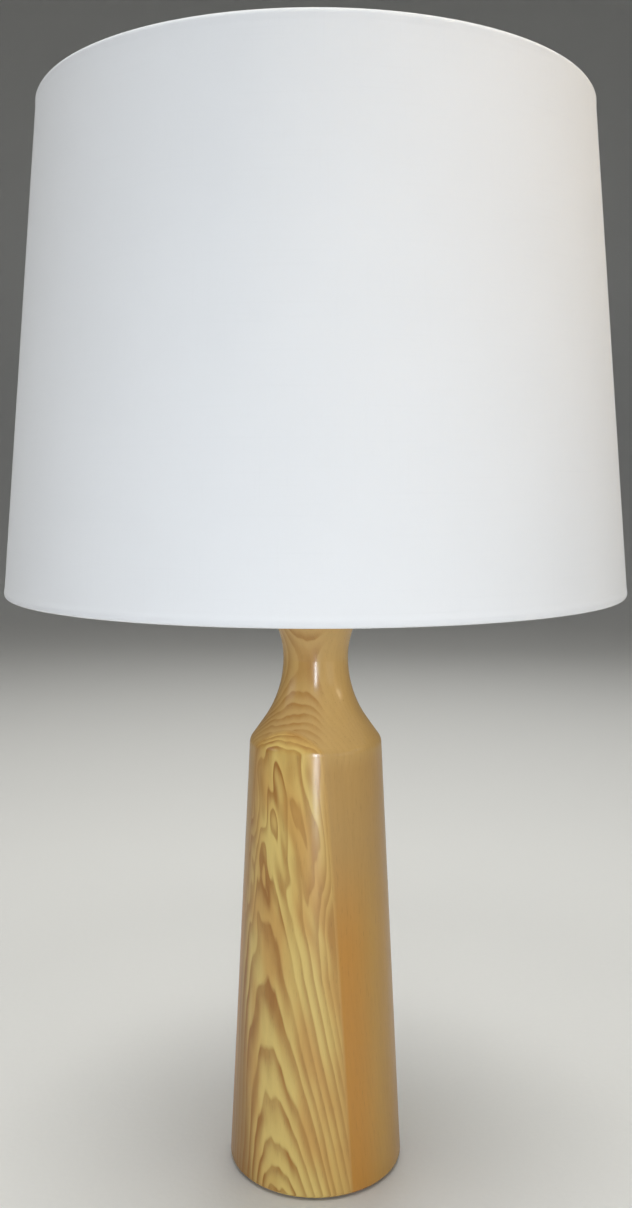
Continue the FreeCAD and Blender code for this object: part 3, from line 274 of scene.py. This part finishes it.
def lacquered_ash():
    """Ash glued up from three boards, turned across its growth rings and lacquered satin."""
    ash = Finish("lacquered_ash")
    x, y, z = ash.parts(ash.place)
    leaning = ash.joined(x + GRAIN_LEAN * z, y, z)

    # The fibres wander more in the upper half of the body, and little on the neck.
    upper = ash.slope(z, 0.150, 0.225) * ash.slope(z, 0.280, 0.302, 1.0, 0.16)
    slow = ash.noise(ash.scaled(leaning, *SLOW_DRIFT), 1.0, 1.0) - 0.5
    quick = ash.noise(ash.scaled(leaning, *QUICK_DRIFT), 1.0, 1.0) - 0.5
    drift = slow * (1.2 + 12.0 * upper) + quick * (1.3 + 8.0 * upper)

    # Growth rings of a flat-sawn board, seen from a pith far behind the front of the lamp.
    turn_low = TURN_LOW * (z.least(TURN_LOW_TO) - TURN_LOW_FROM)
    turn_high = TURN_HIGH * (z.most(TURN_HIGH_FROM) - TURN_HIGH_FROM)
    facing = (RINGS_FACE - turn_low) + turn_high
    outward = abs(x * facing.sine() - y * facing.cosine()) * MILLIMETRES
    sideways = (x * facing.cosine() + y * facing.sine()) * MILLIMETRES
    from_pith = ((outward + PITH_BEHIND) ** 2.0 + sideways ** 2.0) ** 0.5
    depth = from_pith - PITH_BEHIND + drift

    count = len(RING_WIDTHS)
    span = sum(RING_WIDTHS)
    years = [(sum(RING_WIDTHS[:number]) / span, number / count) for number in range(count + 1)]
    growth = ash.ramp((depth - RING_START) / span, *years) * float(count)
    inner_growth = (depth + 5.0 * slow) * INNER_RINGS

    # Glue joints between the outer boards and the plain one in the middle.
    across_x, across_y = ACROSS_BOARDS
    from_middle = abs(across_x * x + across_y * y) * MILLIMETRES
    outer_board = ash.slope(from_middle, GLUE_LINE - GLUE_SOFTNESS, GLUE_LINE + GLUE_SOFTNESS)
    year = (inner_growth + outer_board * (growth - inner_growth)).fraction()

    # Each ring starts dark and porous, and fades into pale, dense wood.
    vein = ash.ramp(year, (0.0, 1.0), (0.16, 0.92), (0.36, 0.56), (0.58, 0.20), (0.80, 0.03),
                    (0.90, 0.12), (1.0, 1.0))
    neck = ash.slope(z, 0.294, 0.306) * ash.slope(x, -0.001, 0.007, 1.0, 0.0)
    figured = (0.10 + 0.60 * neck) * (1.0 - outer_board) + outer_board
    patchy = ash.noise(ash.scaled(leaning, *PATCHES), 1.0, 2.0)
    flank = ash.slope(sideways, 8.0, 22.0, 1.0, 0.62)
    strength = figured * flank * ash.slope(patchy, 0.34, 0.60, 0.55, 1.0)

    # Ground colours of the boards, with painted shade darkening the pale board towards its left
    # flank.
    tone = ash.noise(ash.scaled(leaning, *TONES), 1.0, 2.0)
    pale = ash.mix(PALE, PALE_GOLDEN, ash.slope(tone, 0.42, 0.64))
    # Painted shade: the pale board turns darker towards its left flank, where less light falls.
    pale = ash.mix(pale, PALE_FLANK_PAINTED_SHADE, ash.slope(sideways, -30.0, -13.0, 1.0, 0.0))
    pale = ash.mix(pale, PALE_AT_JOINT, ash.slope(from_middle, 38.0, 46.0, 0.55, 0.0))
    plain = ash.mix(PLAIN, PLAIN_AT_JOINT, ash.slope(from_middle, 10.0, 33.0))
    plain = ash.mix(plain, PLAIN_UPPER, ash.slope(z, 0.16, 0.25))
    plain = ash.mix(plain, PLAIN_NECK, ash.slope(z, 0.285, 0.302))
    ground = ash.mix(plain, pale, outer_board)
    brown = ash.mix(VEIN_PLAIN, VEIN_PALE, outer_board)
    wood = ash.mix(ground, brown, vein * strength)

    # Fibres, fine lines of pores and a slow change of tone along the column.
    fibre = ash.noise(ash.scaled(ash.place, *FIBRES), 1.0, 3.0, 0.6)
    streak = ash.noise(ash.scaled(ash.place, *STREAKS), 1.0, 2.0)
    pores = ash.noise(ash.scaled(ash.place, *PORES), 1.0, 1.0)
    pore = ash.slope(pores, 0.62, 0.70) * (0.25 + 0.75 * vein)
    level = 0.93 + 0.09 * fibre + 0.10 * streak - 0.16 * pore
    wood = ash.shaded(wood, level)

    surface = 0.5 * fibre - 0.8 * pore
    gloss = 0.36 + 0.10 * ash.noise(ash.place, 70.0, 3.0) + 0.06 * pore
    return ash.close(Base_Color=wood, Roughness=gloss, Specular_IOR_Level=0.18,
                     Normal=ash.relief(surface, 0.00004),
                     Coat_Weight=0.34, Coat_Roughness=0.18, Coat_IOR=1.85)


# ---- Metals, plastics and the rest -------------------------------------------------------------
def turned_metal(name, colour, tarnish, roughness, ridges=2600, thread=None, depth=0.000012):
    """Metal with fine turning marks round its axis and slightly duller patches."""
    metal = Finish(name)
    x, y, z = metal.parts(metal.place)
    marks = metal.noise(metal.scaled(metal.place, 40, 40, ridges), 1.0, 2.0)
    cloud = metal.noise(metal.place, 90.0, 3.0)
    speck = metal.noise(metal.place, 900.0, 2.0)
    dull = metal.slope(cloud, 0.42, 0.70)
    shade = metal.mix(colour, tarnish, 0.55 * dull + 0.12 * speck)
    height = marks
    if thread:
        pitch, low, high, depth = thread
        around = y.turn_from(x) / (2 * math.pi)
        ridge = abs((z / pitch + around).fraction() - 0.5) * 2.0
        on_thread = metal.slope(z, low, low + pitch / 3) * metal.slope(
            z, high - pitch / 3, high, 1.0, 0.0)
        height = marks * 0.04 + ridge * on_thread
    rough = roughness + 0.10 * dull + 0.08 * (marks - 0.5)
    return metal.close(Base_Color=shade, Metallic=1.0, Roughness=rough,
                       Normal=metal.relief(height, depth))


def drawn_wire(name, colour, tarnish, roughness):
    """Plated wire with drawing marks and small dents in the plating."""
    metal = Finish(name)
    drawn = metal.noise(metal.scaled(metal.place, 900, 900, 60), 1.0, 2.0)
    cloud = metal.noise(metal.place, 55.0, 3.0)
    pitted = metal.noise(metal.place, 1400.0, 2.0)
    dull = metal.slope(cloud, 0.40, 0.68)
    shade = metal.mix(colour, tarnish, 0.35 * dull + 0.08 * pitted)
    rough = roughness + 0.14 * dull + 0.10 * (drawn - 0.5)
    return metal.close(Base_Color=shade, Metallic=1.0, Roughness=rough,
                       Normal=metal.relief(0.6 * drawn + 0.4 * pitted, 0.000006))


def moulded(name, colour, worn, roughness, grain=1300.0, depth=0.00003, coat=0.0):
    """Moulded plastic with a fine grain and a trace of flow in its colour."""
    plastic = Finish(name)
    grained = plastic.noise(plastic.place, grain, 3.0)
    flow = plastic.noise(plastic.scaled(plastic.place, 60, 60, 110), 1.0, 3.0)
    shade = plastic.mix(colour, worn, plastic.slope(flow, 0.35, 0.75) * 0.6
                        + 0.2 * grained)
    rough = roughness + 0.12 * (grained - 0.5) + 0.08 * (flow - 0.5)
    return plastic.close(Base_Color=shade, Roughness=rough, Coat_Weight=coat,
                         Coat_Roughness=0.2, Normal=plastic.relief(grained, depth))


def pressed_felt():
    """Short wool fibres pressed into a sheet."""
    felt = Finish("wool_felt")
    matted = felt.noise(felt.place, 520.0, 5.0, 0.7, 0.8)
    hairs = felt.noise(felt.scaled(felt.place, 2600, 500, 900), 1.0, 3.0, 0.6, 1.5)
    clump = felt.noise(felt.place, 90.0, 3.0)
    woolly = 0.6 * felt.slope(matted, 0.34, 0.66) + 0.4 * felt.slope(hairs, 0.36, 0.64)
    shade = felt.mix(srgb(52, 45, 39), srgb(112, 101, 88), woolly)
    shade = felt.shaded(shade, 0.85 + 0.35 * clump)
    return felt.close(Base_Color=shade, Roughness=0.95,
                      Sheen_Weight=0.5, Sheen_Roughness=0.6,
                      Normal=felt.relief(0.6 * matted + 0.4 * hairs, 0.0004))


def vulcanised_fibre():
    """Grey-brown fibre board and paper of the socket's insulation."""
    fibre = Finish("socket_fibre")
    pulp = fibre.noise(fibre.scaled(fibre.place, 700, 700, 260), 1.0, 4.0, 0.65)
    patch = fibre.noise(fibre.place, 160.0, 3.0)
    shade = fibre.mix(srgb(96, 78, 58), srgb(140, 118, 90), 0.7 * pulp + 0.3 * patch)
    return fibre.close(Base_Color=shade, Roughness=0.72 + 0.15 * (pulp - 0.5),
                       Normal=fibre.relief(pulp, 0.00006))


def glass(name, colour, clouded, roughness, see_through):
    """Blown glass with faint streaks left by the blowing."""
    pane = Finish(name)
    streaks = pane.noise(pane.scaled(pane.place, 60, 60, 25), 1.0, 3.0)
    powder = pane.noise(pane.place, 1500.0, 2.0)
    shade = pane.mix(colour, clouded, 0.5 * streaks + 0.3 * powder)
    return pane.close(Base_Color=shade, Roughness=roughness + 0.06 * (streaks - 0.5),
                      Transmission_Weight=see_through, Coat_Weight=0.6,
                      Coat_Roughness=0.05,
                      Normal=pane.relief(0.7 * streaks + 0.3 * powder, 0.00003))


GLUED = 0.0056               # half the width of the liner's glued lap
BEHIND_BULB = 0.05


def styrene_sheet():
    """White styrene liner: smooth, a little cloudy, with its lap glued at the back."""
    styrene = Finish("white_styrene")
    x, y, _ = styrene.parts(styrene.place)
    cloud = styrene.noise(styrene.place, 26.0, 3.0)
    orange_peel = styrene.noise(styrene.place, 420.0, 2.0)
    bearing = math.radians(SEAM_BEARING)
    from_seam = abs(x * math.sin(bearing) - y * math.cos(bearing))
    at_back = (y - BEHIND_BULB).above(0.0)
    glued = styrene.slope(from_seam, GLUED - 0.0004, GLUED + 0.0004, 1.0, 0.0) * at_back
    edge = (styrene.slope(from_seam, GLUED - 0.0010, GLUED - 0.0002)
            * styrene.slope(from_seam, GLUED + 0.0002, GLUED + 0.0010, 1.0, 0.0) * at_back)
    shade = styrene.mix(srgb(240, 240, 237), srgb(237, 238, 236),
                        styrene.slope(cloud, 0.25, 0.80))
    shade = styrene.mix(shade, srgb(222, 218, 206), 0.55 * glued)
    shade = styrene.shaded(shade, 1.0 - 0.16 * edge)
    return styrene.close(Base_Color=shade, Roughness=0.40 + 0.04 * cloud,
                         Normal=styrene.relief(0.5 * glued + 0.12 * orange_peel, 0.0004))


def woven_cloth():
    """Fine plain weave, white, with a few thicker threads; reads the piece's own threads map."""
    cloth = Finish("shade_cloth")
    threads = cloth.node("ShaderNodeUVMap", {"uv_map": "threads"}, {}, "UV")
    across, up, _ = cloth.parts(threads)
    warp = abs((across * (math.pi / WEAVE_PITCH)).sine())
    weft = abs((up * (math.pi / WEAVE_PITCH)).sine())
    column, row = (across / WEAVE_PITCH).whole(), (up / WEAVE_PITCH).whole()
    warp_over = ((column + row) * 0.5).fraction().above(0.25)
    height = warp * warp_over + weft * (1.0 - warp_over)
    thick_up = cloth.noise(cloth.scaled(threads, 900, 14, 1), 1.0, 2.0)
    thick_across = cloth.noise(cloth.scaled(threads, 12, 900, 1), 1.0, 2.0)
    slub = (cloth.slope(thick_up, 0.60, 0.74) + cloth.slope(thick_across, 0.58, 0.72)) * 0.5
    cloud = cloth.noise(cloth.place, 9.0, 3.0)
    shade = cloth.mix(srgb(242, 243, 246), srgb(239, 240, 243),
                      cloth.slope(cloud, 0.20, 0.85))
    # Painted shade in the weave: the colour is darker where the threads lie low, between the
    # crossings.
    shade = cloth.shaded(shade, 0.965 + 0.035 * height - 0.02 * slub)
    return cloth.close(Base_Color=shade, Roughness=0.82 - 0.06 * slub,
                       Sheen_Weight=0.12, Sheen_Roughness=0.5,
                       Normal=cloth.relief(0.6 * height + 0.4 * slub, 0.00007))


BRASS = srgb(226, 194, 128)
BRASS_DULL = srgb(196, 160, 98)
FINISHES = {
    "ash": lacquered_ash(),
    "felt": pressed_felt(),
    "black_nylon": moulded("bushing_nylon", srgb(30, 30, 31), srgb(48, 47, 46), 0.48),
    "zinc_steel": turned_metal("zinc_steel", srgb(190, 194, 200), srgb(150, 152, 150), 0.30,
                               thread=PIPE_THREAD),
    "brass": turned_metal("satin_brass", BRASS, BRASS_DULL, 0.26),
    "harp_metal": drawn_wire("harp_brass_plate", srgb(224, 192, 128), srgb(192, 158, 98), 0.24),
    "socket_brass": turned_metal("pressed_brass", srgb(212, 174, 98), srgb(170, 132, 74), 0.22,
                                 1500),
    "fibre": vulcanised_fibre(),
    "phenolic": moulded("black_phenolic", srgb(24, 22, 21), srgb(44, 38, 34), 0.30,
                        900.0, 0.00002, 0.35),
    "screw_shell": turned_metal("nickel_shell", srgb(206, 202, 192), srgb(168, 164, 154), 0.22,
                                1800),
    "bulb_glass": glass("soft_white_glass", srgb(244, 244, 240), srgb(232, 233, 230), 0.22,
                        0.0),
    "black_glass": moulded("bulb_black_glass", srgb(14, 14, 18), srgb(34, 34, 44), 0.12,
                           400.0, 0.00001, 0.5),
    "solder": turned_metal("tip_solder", srgb(176, 176, 172), srgb(130, 130, 126), 0.42, 900),
    "clear_glass": glass("stem_glass", srgb(236, 242, 240), srgb(220, 230, 228), 0.04, 0.95),
    "tungsten": drawn_wire("tungsten_wire", srgb(120, 118, 116), srgb(84, 82, 80), 0.35),
    "spider_metal": drawn_wire("spider_brass_plate", srgb(224, 194, 132), srgb(190, 158, 102),
                               0.28),
    "ring_wire": moulded("ring_enamel", srgb(236, 236, 232), srgb(222, 221, 214), 0.36,
                         700.0, 0.00005, 0.3),
    "styrene": styrene_sheet(),
    "shade_cloth": woven_cloth(),
}

slots = {piece["node"]: piece["material_slot"] for piece in frame["record"]["subparts"]}
for name, piece in nodes.items():
    finish = FINISHES[slots[name]]
    if piece.material_slots:
        for slot in piece.material_slots:
            slot.material = finish
    else:
        piece.data.materials.append(finish)


# ---- Shade cloth -------------------------------------------------------------------------------
def finished_piece(name, mesh, body, slot, *stands_for):
    piece = bpy.data.objects.new(name, mesh)
    bpy.context.scene.collection.objects.link(piece)
    if not mesh.materials:
        mesh.materials.append(FINISHES[slot])
    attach(piece, body)
    if stands_for:
        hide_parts(*stands_for)
    return piece


HEM_STEPS, ROLL_STEPS, BEAD_STEPS, WALL_STEPS = 4, 12, 6, 36
LAP_RAMP = 0.35              # share of the lap over which the cloth climbs on itself
taper = SHADE_BOTTOM_RADIUS - SHADE_TOP_RADIUS
lean = math.atan2(taper, SHADE_HEIGHT)
wall_length = math.hypot(taper, SHADE_HEIGHT)


def on_wall(depth, height):
    """Radius and height of a point at a depth inside the cloth's face, up the slant."""
    return (SHADE_BOTTOM_RADIUS - math.sin(lean) * height - math.cos(lean) * depth,
            SHADE_FOOT + math.cos(lean) * height - math.sin(lean) * depth)


def cloth_profile():
    """Depth and height of the cloth's middle: hem, roll, wall, roll and hem."""
    roll = EDGE_ROLL - CLOTH / 2
    low, high = EDGE_ROLL, wall_length - EDGE_ROLL
    hem_depth = 2 * EDGE_ROLL - CLOTH / 2
    hem = [HEM * share / HEM_STEPS for share in range(1, HEM_STEPS + 1)]
    turns = [math.pi * step / ROLL_STEPS for step in range(ROLL_STEPS + 1)]
    path = [(hem_depth, low + length) for length in reversed(hem)]
    path += [(EDGE_ROLL + roll * math.cos(turn), low - roll * math.sin(turn)) for turn in turns]
    start, end = low + 2 * EDGE_ROLL, high - 2 * EDGE_ROLL
    for step in range(1, BEAD_STEPS + 1):
        height = low + (start - low) * step / BEAD_STEPS
        swell = 0.5 + 0.5 * math.cos(math.pi * step / BEAD_STEPS)
        path.append((CLOTH / 2 - BEAD * swell, height))
    path += [(CLOTH / 2, start + (end - start) * step / WALL_STEPS)
             for step in range(1, WALL_STEPS + 1)]
    for step in range(1, BEAD_STEPS + 1):
        height = end + (high - end) * step / BEAD_STEPS
        swell = 0.5 - 0.5 * math.cos(math.pi * step / BEAD_STEPS)
        path.append((CLOTH / 2 - BEAD * swell, height))
    path += [(EDGE_ROLL - roll * math.cos(turn), high + roll * math.sin(turn))
             for turn in turns[1:]]
    path += [(hem_depth, high - length) for length in hem]
    return path


def shade_cloth():
    """Strip of cloth wrapped round the liner, lapped at the back and rolled over both rings."""
    path = cloth_profile()
    lengths = [0.0]
    for before, here in zip(path, path[1:]):
        lengths.append(lengths[-1] + math.dist(before, here))
    normals = []
    for index in range(len(path)):
        before, after = path[max(index - 1, 0)], path[min(index + 1, len(path) - 1)]
        run = (after[0] - before[0], after[1] - before[1])
        size = math.hypot(*run)
        normals.append((-run[1] / size, run[0] / size))

    mean_radius = (SHADE_BOTTOM_RADIUS + SHADE_TOP_RADIUS) / 2
    lap_turn = LAP / mean_radius
    full = 2 * math.pi + lap_turn
    ramp_turn = LAP_RAMP * lap_turn
    start_of_lap = 2 * math.pi - ramp_turn
    points, uvs = [], []
    for column in range(CLOTH_SEGMENTS + 1):
        turn = full * column / CLOTH_SEGMENTS
        angle = math.radians(SEAM_BEARING) - lap_turn / 2 + turn
        lift = LAP_STEP * min(max((turn - start_of_lap) / ramp_turn, 0.0), 1.0)
        for (depth, height), (nx, ny), length in zip(path, normals, lengths):
            radius, z = on_wall(depth + nx * lift, height + ny * lift)
            points.append((radius * math.cos(angle), radius * math.sin(angle), z))
            uvs.append((turn * mean_radius, length))
    rows = len(path)
    faces = []
    for column in range(CLOTH_SEGMENTS):
        for row in range(rows - 1):
            a = column * rows + row
            faces.append((a, a + rows, a + rows + 1, a + 1))
    mesh = bpy.data.meshes.new("shade_cloth")
    mesh.from_pydata(points, [], faces)
    mesh.update()
    threads = mesh.uv_layers.new(name="threads")
    for loop in mesh.loops:
        threads.data[loop.index].uv = uvs[loop.vertex_index]
    for face in mesh.polygons:
        face.use_smooth = True
    return mesh


cloth = finished_piece("shade_cloth", shade_cloth(), "shade", "shade_cloth", "shade_fabric")
thick = cloth.modifiers.new("thickness", "SOLIDIFY")
thick.thickness = CLOTH
thick.offset = 0.0


# ---- Threaded shells ---------------------------------------------------------------------------
SAME_POINT = 0.00001         # seam of the shell is welded under this distance
RIM_SHARE = 0.004            # share of the shell's wall that closes its rim


def threaded_shell_tree():
    """Drawn shell whose wall is rolled into a coarse round thread, turned in at its foot."""
    group = bpy.data.node_groups.new("threaded_shell", "GeometryNodeTree")
    for title, kind in (("Crest Radius", "NodeSocketFloat"), ("Thread Depth", "NodeSocketFloat"),
                        ("Pitch", "NodeSocketFloat"), ("Sheet", "NodeSocketFloat"),
                        ("Bottom", "NodeSocketFloat"), ("Top", "NodeSocketFloat"),
                        ("Plain Rim", "NodeSocketFloat"), ("Turn In", "NodeSocketFloat"),
                        ("Turn Rise", "NodeSocketFloat"), ("Along", "NodeSocketInt"),
                        ("Around", "NodeSocketInt"), ("Finish", "NodeSocketMaterial")):
        group.interface.new_socket(title, in_out="INPUT", socket_type=kind)
    group.interface.new_socket("Geometry", in_out="OUTPUT", socket_type="NodeSocketGeometry")
    shell = Tree(group)
    given = shell.node("NodeGroupInput").socket.node.outputs

    def size(title):
        return Amount(shell, given[title])

    grid = shell.node("GeometryNodeMeshGrid", {}, {"Size X": 1.0, "Size Y": 1.0,
                      "Vertices X": size("Along"), "Vertices Y": size("Around")})
    along, around, _ = shell.parts(shell.node("GeometryNodeInputPosition"))
    along = along + 0.5
    turn = (around + 0.5) * (2 * math.pi)
    inside = along.above(0.5)
    share = 1.0 - abs(along * 2.0 - 1.0)
    z = size("Bottom") + share * (size("Top") - size("Bottom"))
    lift = z - size("Bottom")
    wave = (turn - z * (2 * math.pi) / size("Pitch")).cosine()
    plain_rim = shell.slope(size("Top") - z, size("Plain Rim"),
                            size("Plain Rim") + size("Pitch") * 0.5)
    plain_foot = shell.slope(lift, size("Turn Rise"), size("Turn Rise") + size("Pitch") * 0.5)
    groove = size("Thread Depth") * (1.0 - wave) * 0.5 * plain_rim * plain_foot
    low = (1.0 - lift / size("Turn Rise")).most(0.0)
    turned_in = size("Turn In") * (1.0 - (1.0 - low * low).most(0.0) ** 0.5)
    at_end = 0.5 * (1.0 - shell.slope(share, 0.0, RIM_SHARE))
    radius = size("Crest Radius") - groove - turned_in - size("Sheet") * (
        inside * (1.0 - at_end) + (1.0 - inside) * at_end)
    bent = shell.node("GeometryNodeSetPosition", {}, {"Geometry": grid, "Position": shell.joined(
        radius * turn.cosine(), radius * turn.sine(), z)})
    closed = shell.node("GeometryNodeMergeByDistance", {}, {"Geometry": bent,
                        "Distance": SAME_POINT})
    smooth = shell.node("GeometryNodeSetShadeSmooth", {}, {"Geometry": closed})
    plain = shell.node("GeometryNodeRealizeInstances", {}, {"Geometry": smooth})
    dressed = shell.node("GeometryNodeSetMaterial", {}, {"Geometry": plain,
                         "Material": size("Finish")})
    shell.node("NodeGroupOutput", {}, {"Geometry": dressed})
    return group


def grown(name, group, values):
    """Plain mesh of a node group evaluated with the given inputs."""
    host = bpy.data.objects.new(name, bpy.data.meshes.new(name))
    bpy.context.scene.collection.objects.link(host)
    modifier = host.modifiers.new("shape", "NODES")
    modifier.node_group = group
    for item in group.interface.items_tree:
        if item.item_type == "SOCKET" and item.in_out == "INPUT":
            modifier[item.identifier] = values[item.name]
    bpy.context.view_layer.update()
    evaluated = host.evaluated_get(bpy.context.evaluated_depsgraph_get())
    mesh = bpy.data.meshes.new_from_object(evaluated)
    mesh.name = name
    bpy.data.objects.remove(host)
    work = bmesh.new()
    work.from_mesh(mesh)
    bmesh.ops.recalc_face_normals(work, faces=work.faces)
    work.to_mesh(mesh)
    work.free()
    return mesh


shell_tree = threaded_shell_tree()
base_low, base_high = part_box("bulb_base")
shell_low, shell_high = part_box("socket_screw_shell")
SHELLS = {
    "bulb_cap": ("bulb", "screw_shell", "bulb_base", {
        "Crest Radius": 0.0129, "Bottom": base_low.z, "Top": base_high.z,
        "Plain Rim": 0.0016, "Turn In": 0.0016, "Turn Rise": 0.0016}),
    "socket_thread": ("base", "screw_shell", "socket_screw_shell", {
        "Crest Radius": 0.0136, "Bottom": shell_low.z, "Top": shell_high.z,
        "Plain Rim": 0.0012, "Turn In": 0.0064, "Turn Rise": 0.0012}),
}
for name, (body, slot, node, sizes) in SHELLS.items():
    sizes.update({"Pitch": THREAD_PITCH, "Thread Depth": THREAD_DEPTH, "Sheet": SHELL_SHEET,
                  "Along": 182, "Around": 97, "Finish": FINISHES[slot]})
    finished_piece(name, grown(name, shell_tree, sizes), body, slot, node)


# ---- Floor, light and camera -------------------------------------------------------------------
FLOOR_RADIUS, WALL_BEND, WALL_TOP = 3.0, 1.4, 4.6
FLOOR_RINGS, BEND_RINGS, FLOOR_SIDES = 6, 12, 72


def stage_floor():
    """Pale floor that curves up all round into a wall."""
    profile = [(FLOOR_RADIUS * ring / FLOOR_RINGS, 0.0) for ring in range(1, FLOOR_RINGS + 1)]
    for ring in range(1, BEND_RINGS + 1):
        turn = math.pi / 2 * ring / BEND_RINGS
        profile.append((FLOOR_RADIUS + WALL_BEND * math.sin(turn),
                        WALL_BEND - WALL_BEND * math.cos(turn)))
    profile.append((FLOOR_RADIUS + WALL_BEND, WALL_TOP))
    points = [(radius * math.cos(2 * math.pi * side / FLOOR_SIDES),
               radius * math.sin(2 * math.pi * side / FLOOR_SIDES), height)
              for radius, height in profile for side in range(FLOOR_SIDES)]
    centre = len(points)
    points.append((0.0, 0.0, 0.0))
    faces = [(centre, side, (side + 1) % FLOOR_SIDES) for side in range(FLOOR_SIDES)]
    for row in range(len(profile) - 1):
        for side in range(FLOOR_SIDES):
            a = row * FLOOR_SIDES + side
            b = row * FLOOR_SIDES + (side + 1) % FLOOR_SIDES
            faces.append((a, a + FLOOR_SIDES, b + FLOOR_SIDES, b))
    mesh = bpy.data.meshes.new("floor")
    mesh.from_pydata(points, [], faces)
    for face in mesh.polygons:
        face.use_smooth = True
    floor = bpy.data.objects.new("floor", mesh)
    bpy.context.scene.collection.objects.link(floor)
    paper = Finish("floor_paper")
    grain = paper.noise(paper.place, 260.0, 3.0)
    cloud = paper.noise(paper.place, 1.3, 2.0)
    shade = paper.mix(srgb(233, 233, 231), srgb(228, 228, 227), 0.5 * grain + 0.5 * cloud)
    mesh.materials.append(paper.close(Base_Color=shade, Roughness=0.85,
                                      Normal=paper.relief(grain, 0.0002)))


def soft_light(name, place, aim, size, power, colour, spread):
    """Rectangular soft light; a grid keeps its light within the spread, in degrees."""
    light = bpy.data.lights.new(name, "AREA")
    light.shape = "RECTANGLE"
    light.size, light.size_y = size
    light.energy = power
    light.color = colour
    light.spread = math.radians(spread)
    lamp = bpy.data.objects.new(name, light)
    lamp.location = place
    lamp.rotation_euler = (Vector(aim) - Vector(place)).to_track_quat("-Z", "Y").to_euler()
    lamp.visible_camera = False
    bpy.context.scene.collection.objects.link(lamp)


WIDE = 110                   # degrees of spread, for a light that fills the room
LIGHTS = (                   # name, place, aim, size, watts, colour and spread
    ("front", (0.05, -2.3, 0.34), (0, 0, 0.34), (1.15, 0.5), 0.38, (0.88, 0.95, 1.0), 60),
    ("strip", (0.02, -2.2, 0.50), (0, 0, 0.36), (0.22, 0.8), 2.05, (0.86, 0.93, 1.0), 60),
    ("low", (0.02, -1.45, 0.08), (0, 0, 0.24), (0.22, 0.12), 0.17, (0.86, 0.92, 1.0), 60),
    ("right", (2.3, -0.5, 1.1), (0, 0, 0.72), (0.9, 0.4), 0.42, (1.0, 0.78, 0.52), 22),
    ("right_low", (1.9, -1.6, 0.45), (0, 0, 0.36), (1.5, 0.8), 0.72, (1.0, 0.92, 0.78), 70),
    ("left", (-2.3, -0.3, 1.0), (0, 0, 0.66), (1.2, 0.9), 0.54, (0.96, 0.97, 1.0), 60),
    ("back", (0.3, 2.3, 1.6), (0, 0, 0.4), (1.8, 1.4), 5, (1.0, 1.0, 0.98), WIDE),
    ("above", (0, -0.2, 3.0), (0, 0, 0), (2.4, 2.4), 29, (1.0, 0.99, 0.94), WIDE),
)
stage_floor()
for light in LIGHTS:
    soft_light(*light)

ROOM_LIGHT = 0.07
world = bpy.data.worlds.new("room")
bpy.context.scene.world = world
world.use_nodes = True
room = world.node_tree.nodes["Background"].inputs
room["Color"].default_value = (1.0, 1.0, 1.0, 1.0)
room["Strength"].default_value = ROOM_LIGHT

FOCAL = 1128.0               # in pixels of a picture whose long side is LONG_SIDE
LONG_SIDE = 1208.0
FILM = 36.0                  # millimetres along the long side
CAMERA_PLACE = (0.0, -0.7593, 0.4762)
CAMERA_TURN = (90 - 6.357, -0.02, -0.013)     # degrees; it looks down by 6.357
lens = bpy.data.cameras.new("camera")
lens.sensor_width = FILM
lens.sensor_fit = "AUTO"
lens.lens = FOCAL / LONG_SIDE * FILM
camera = bpy.data.objects.new("camera", lens)
bpy.context.scene.collection.objects.link(camera)
camera.location = CAMERA_PLACE
camera.rotation_mode = "XYZ"
camera.rotation_euler = [math.radians(angle) for angle in CAMERA_TURN]
bpy.context.scene.camera = camera
bpy.context.scene.view_settings.view_transform = "Standard"
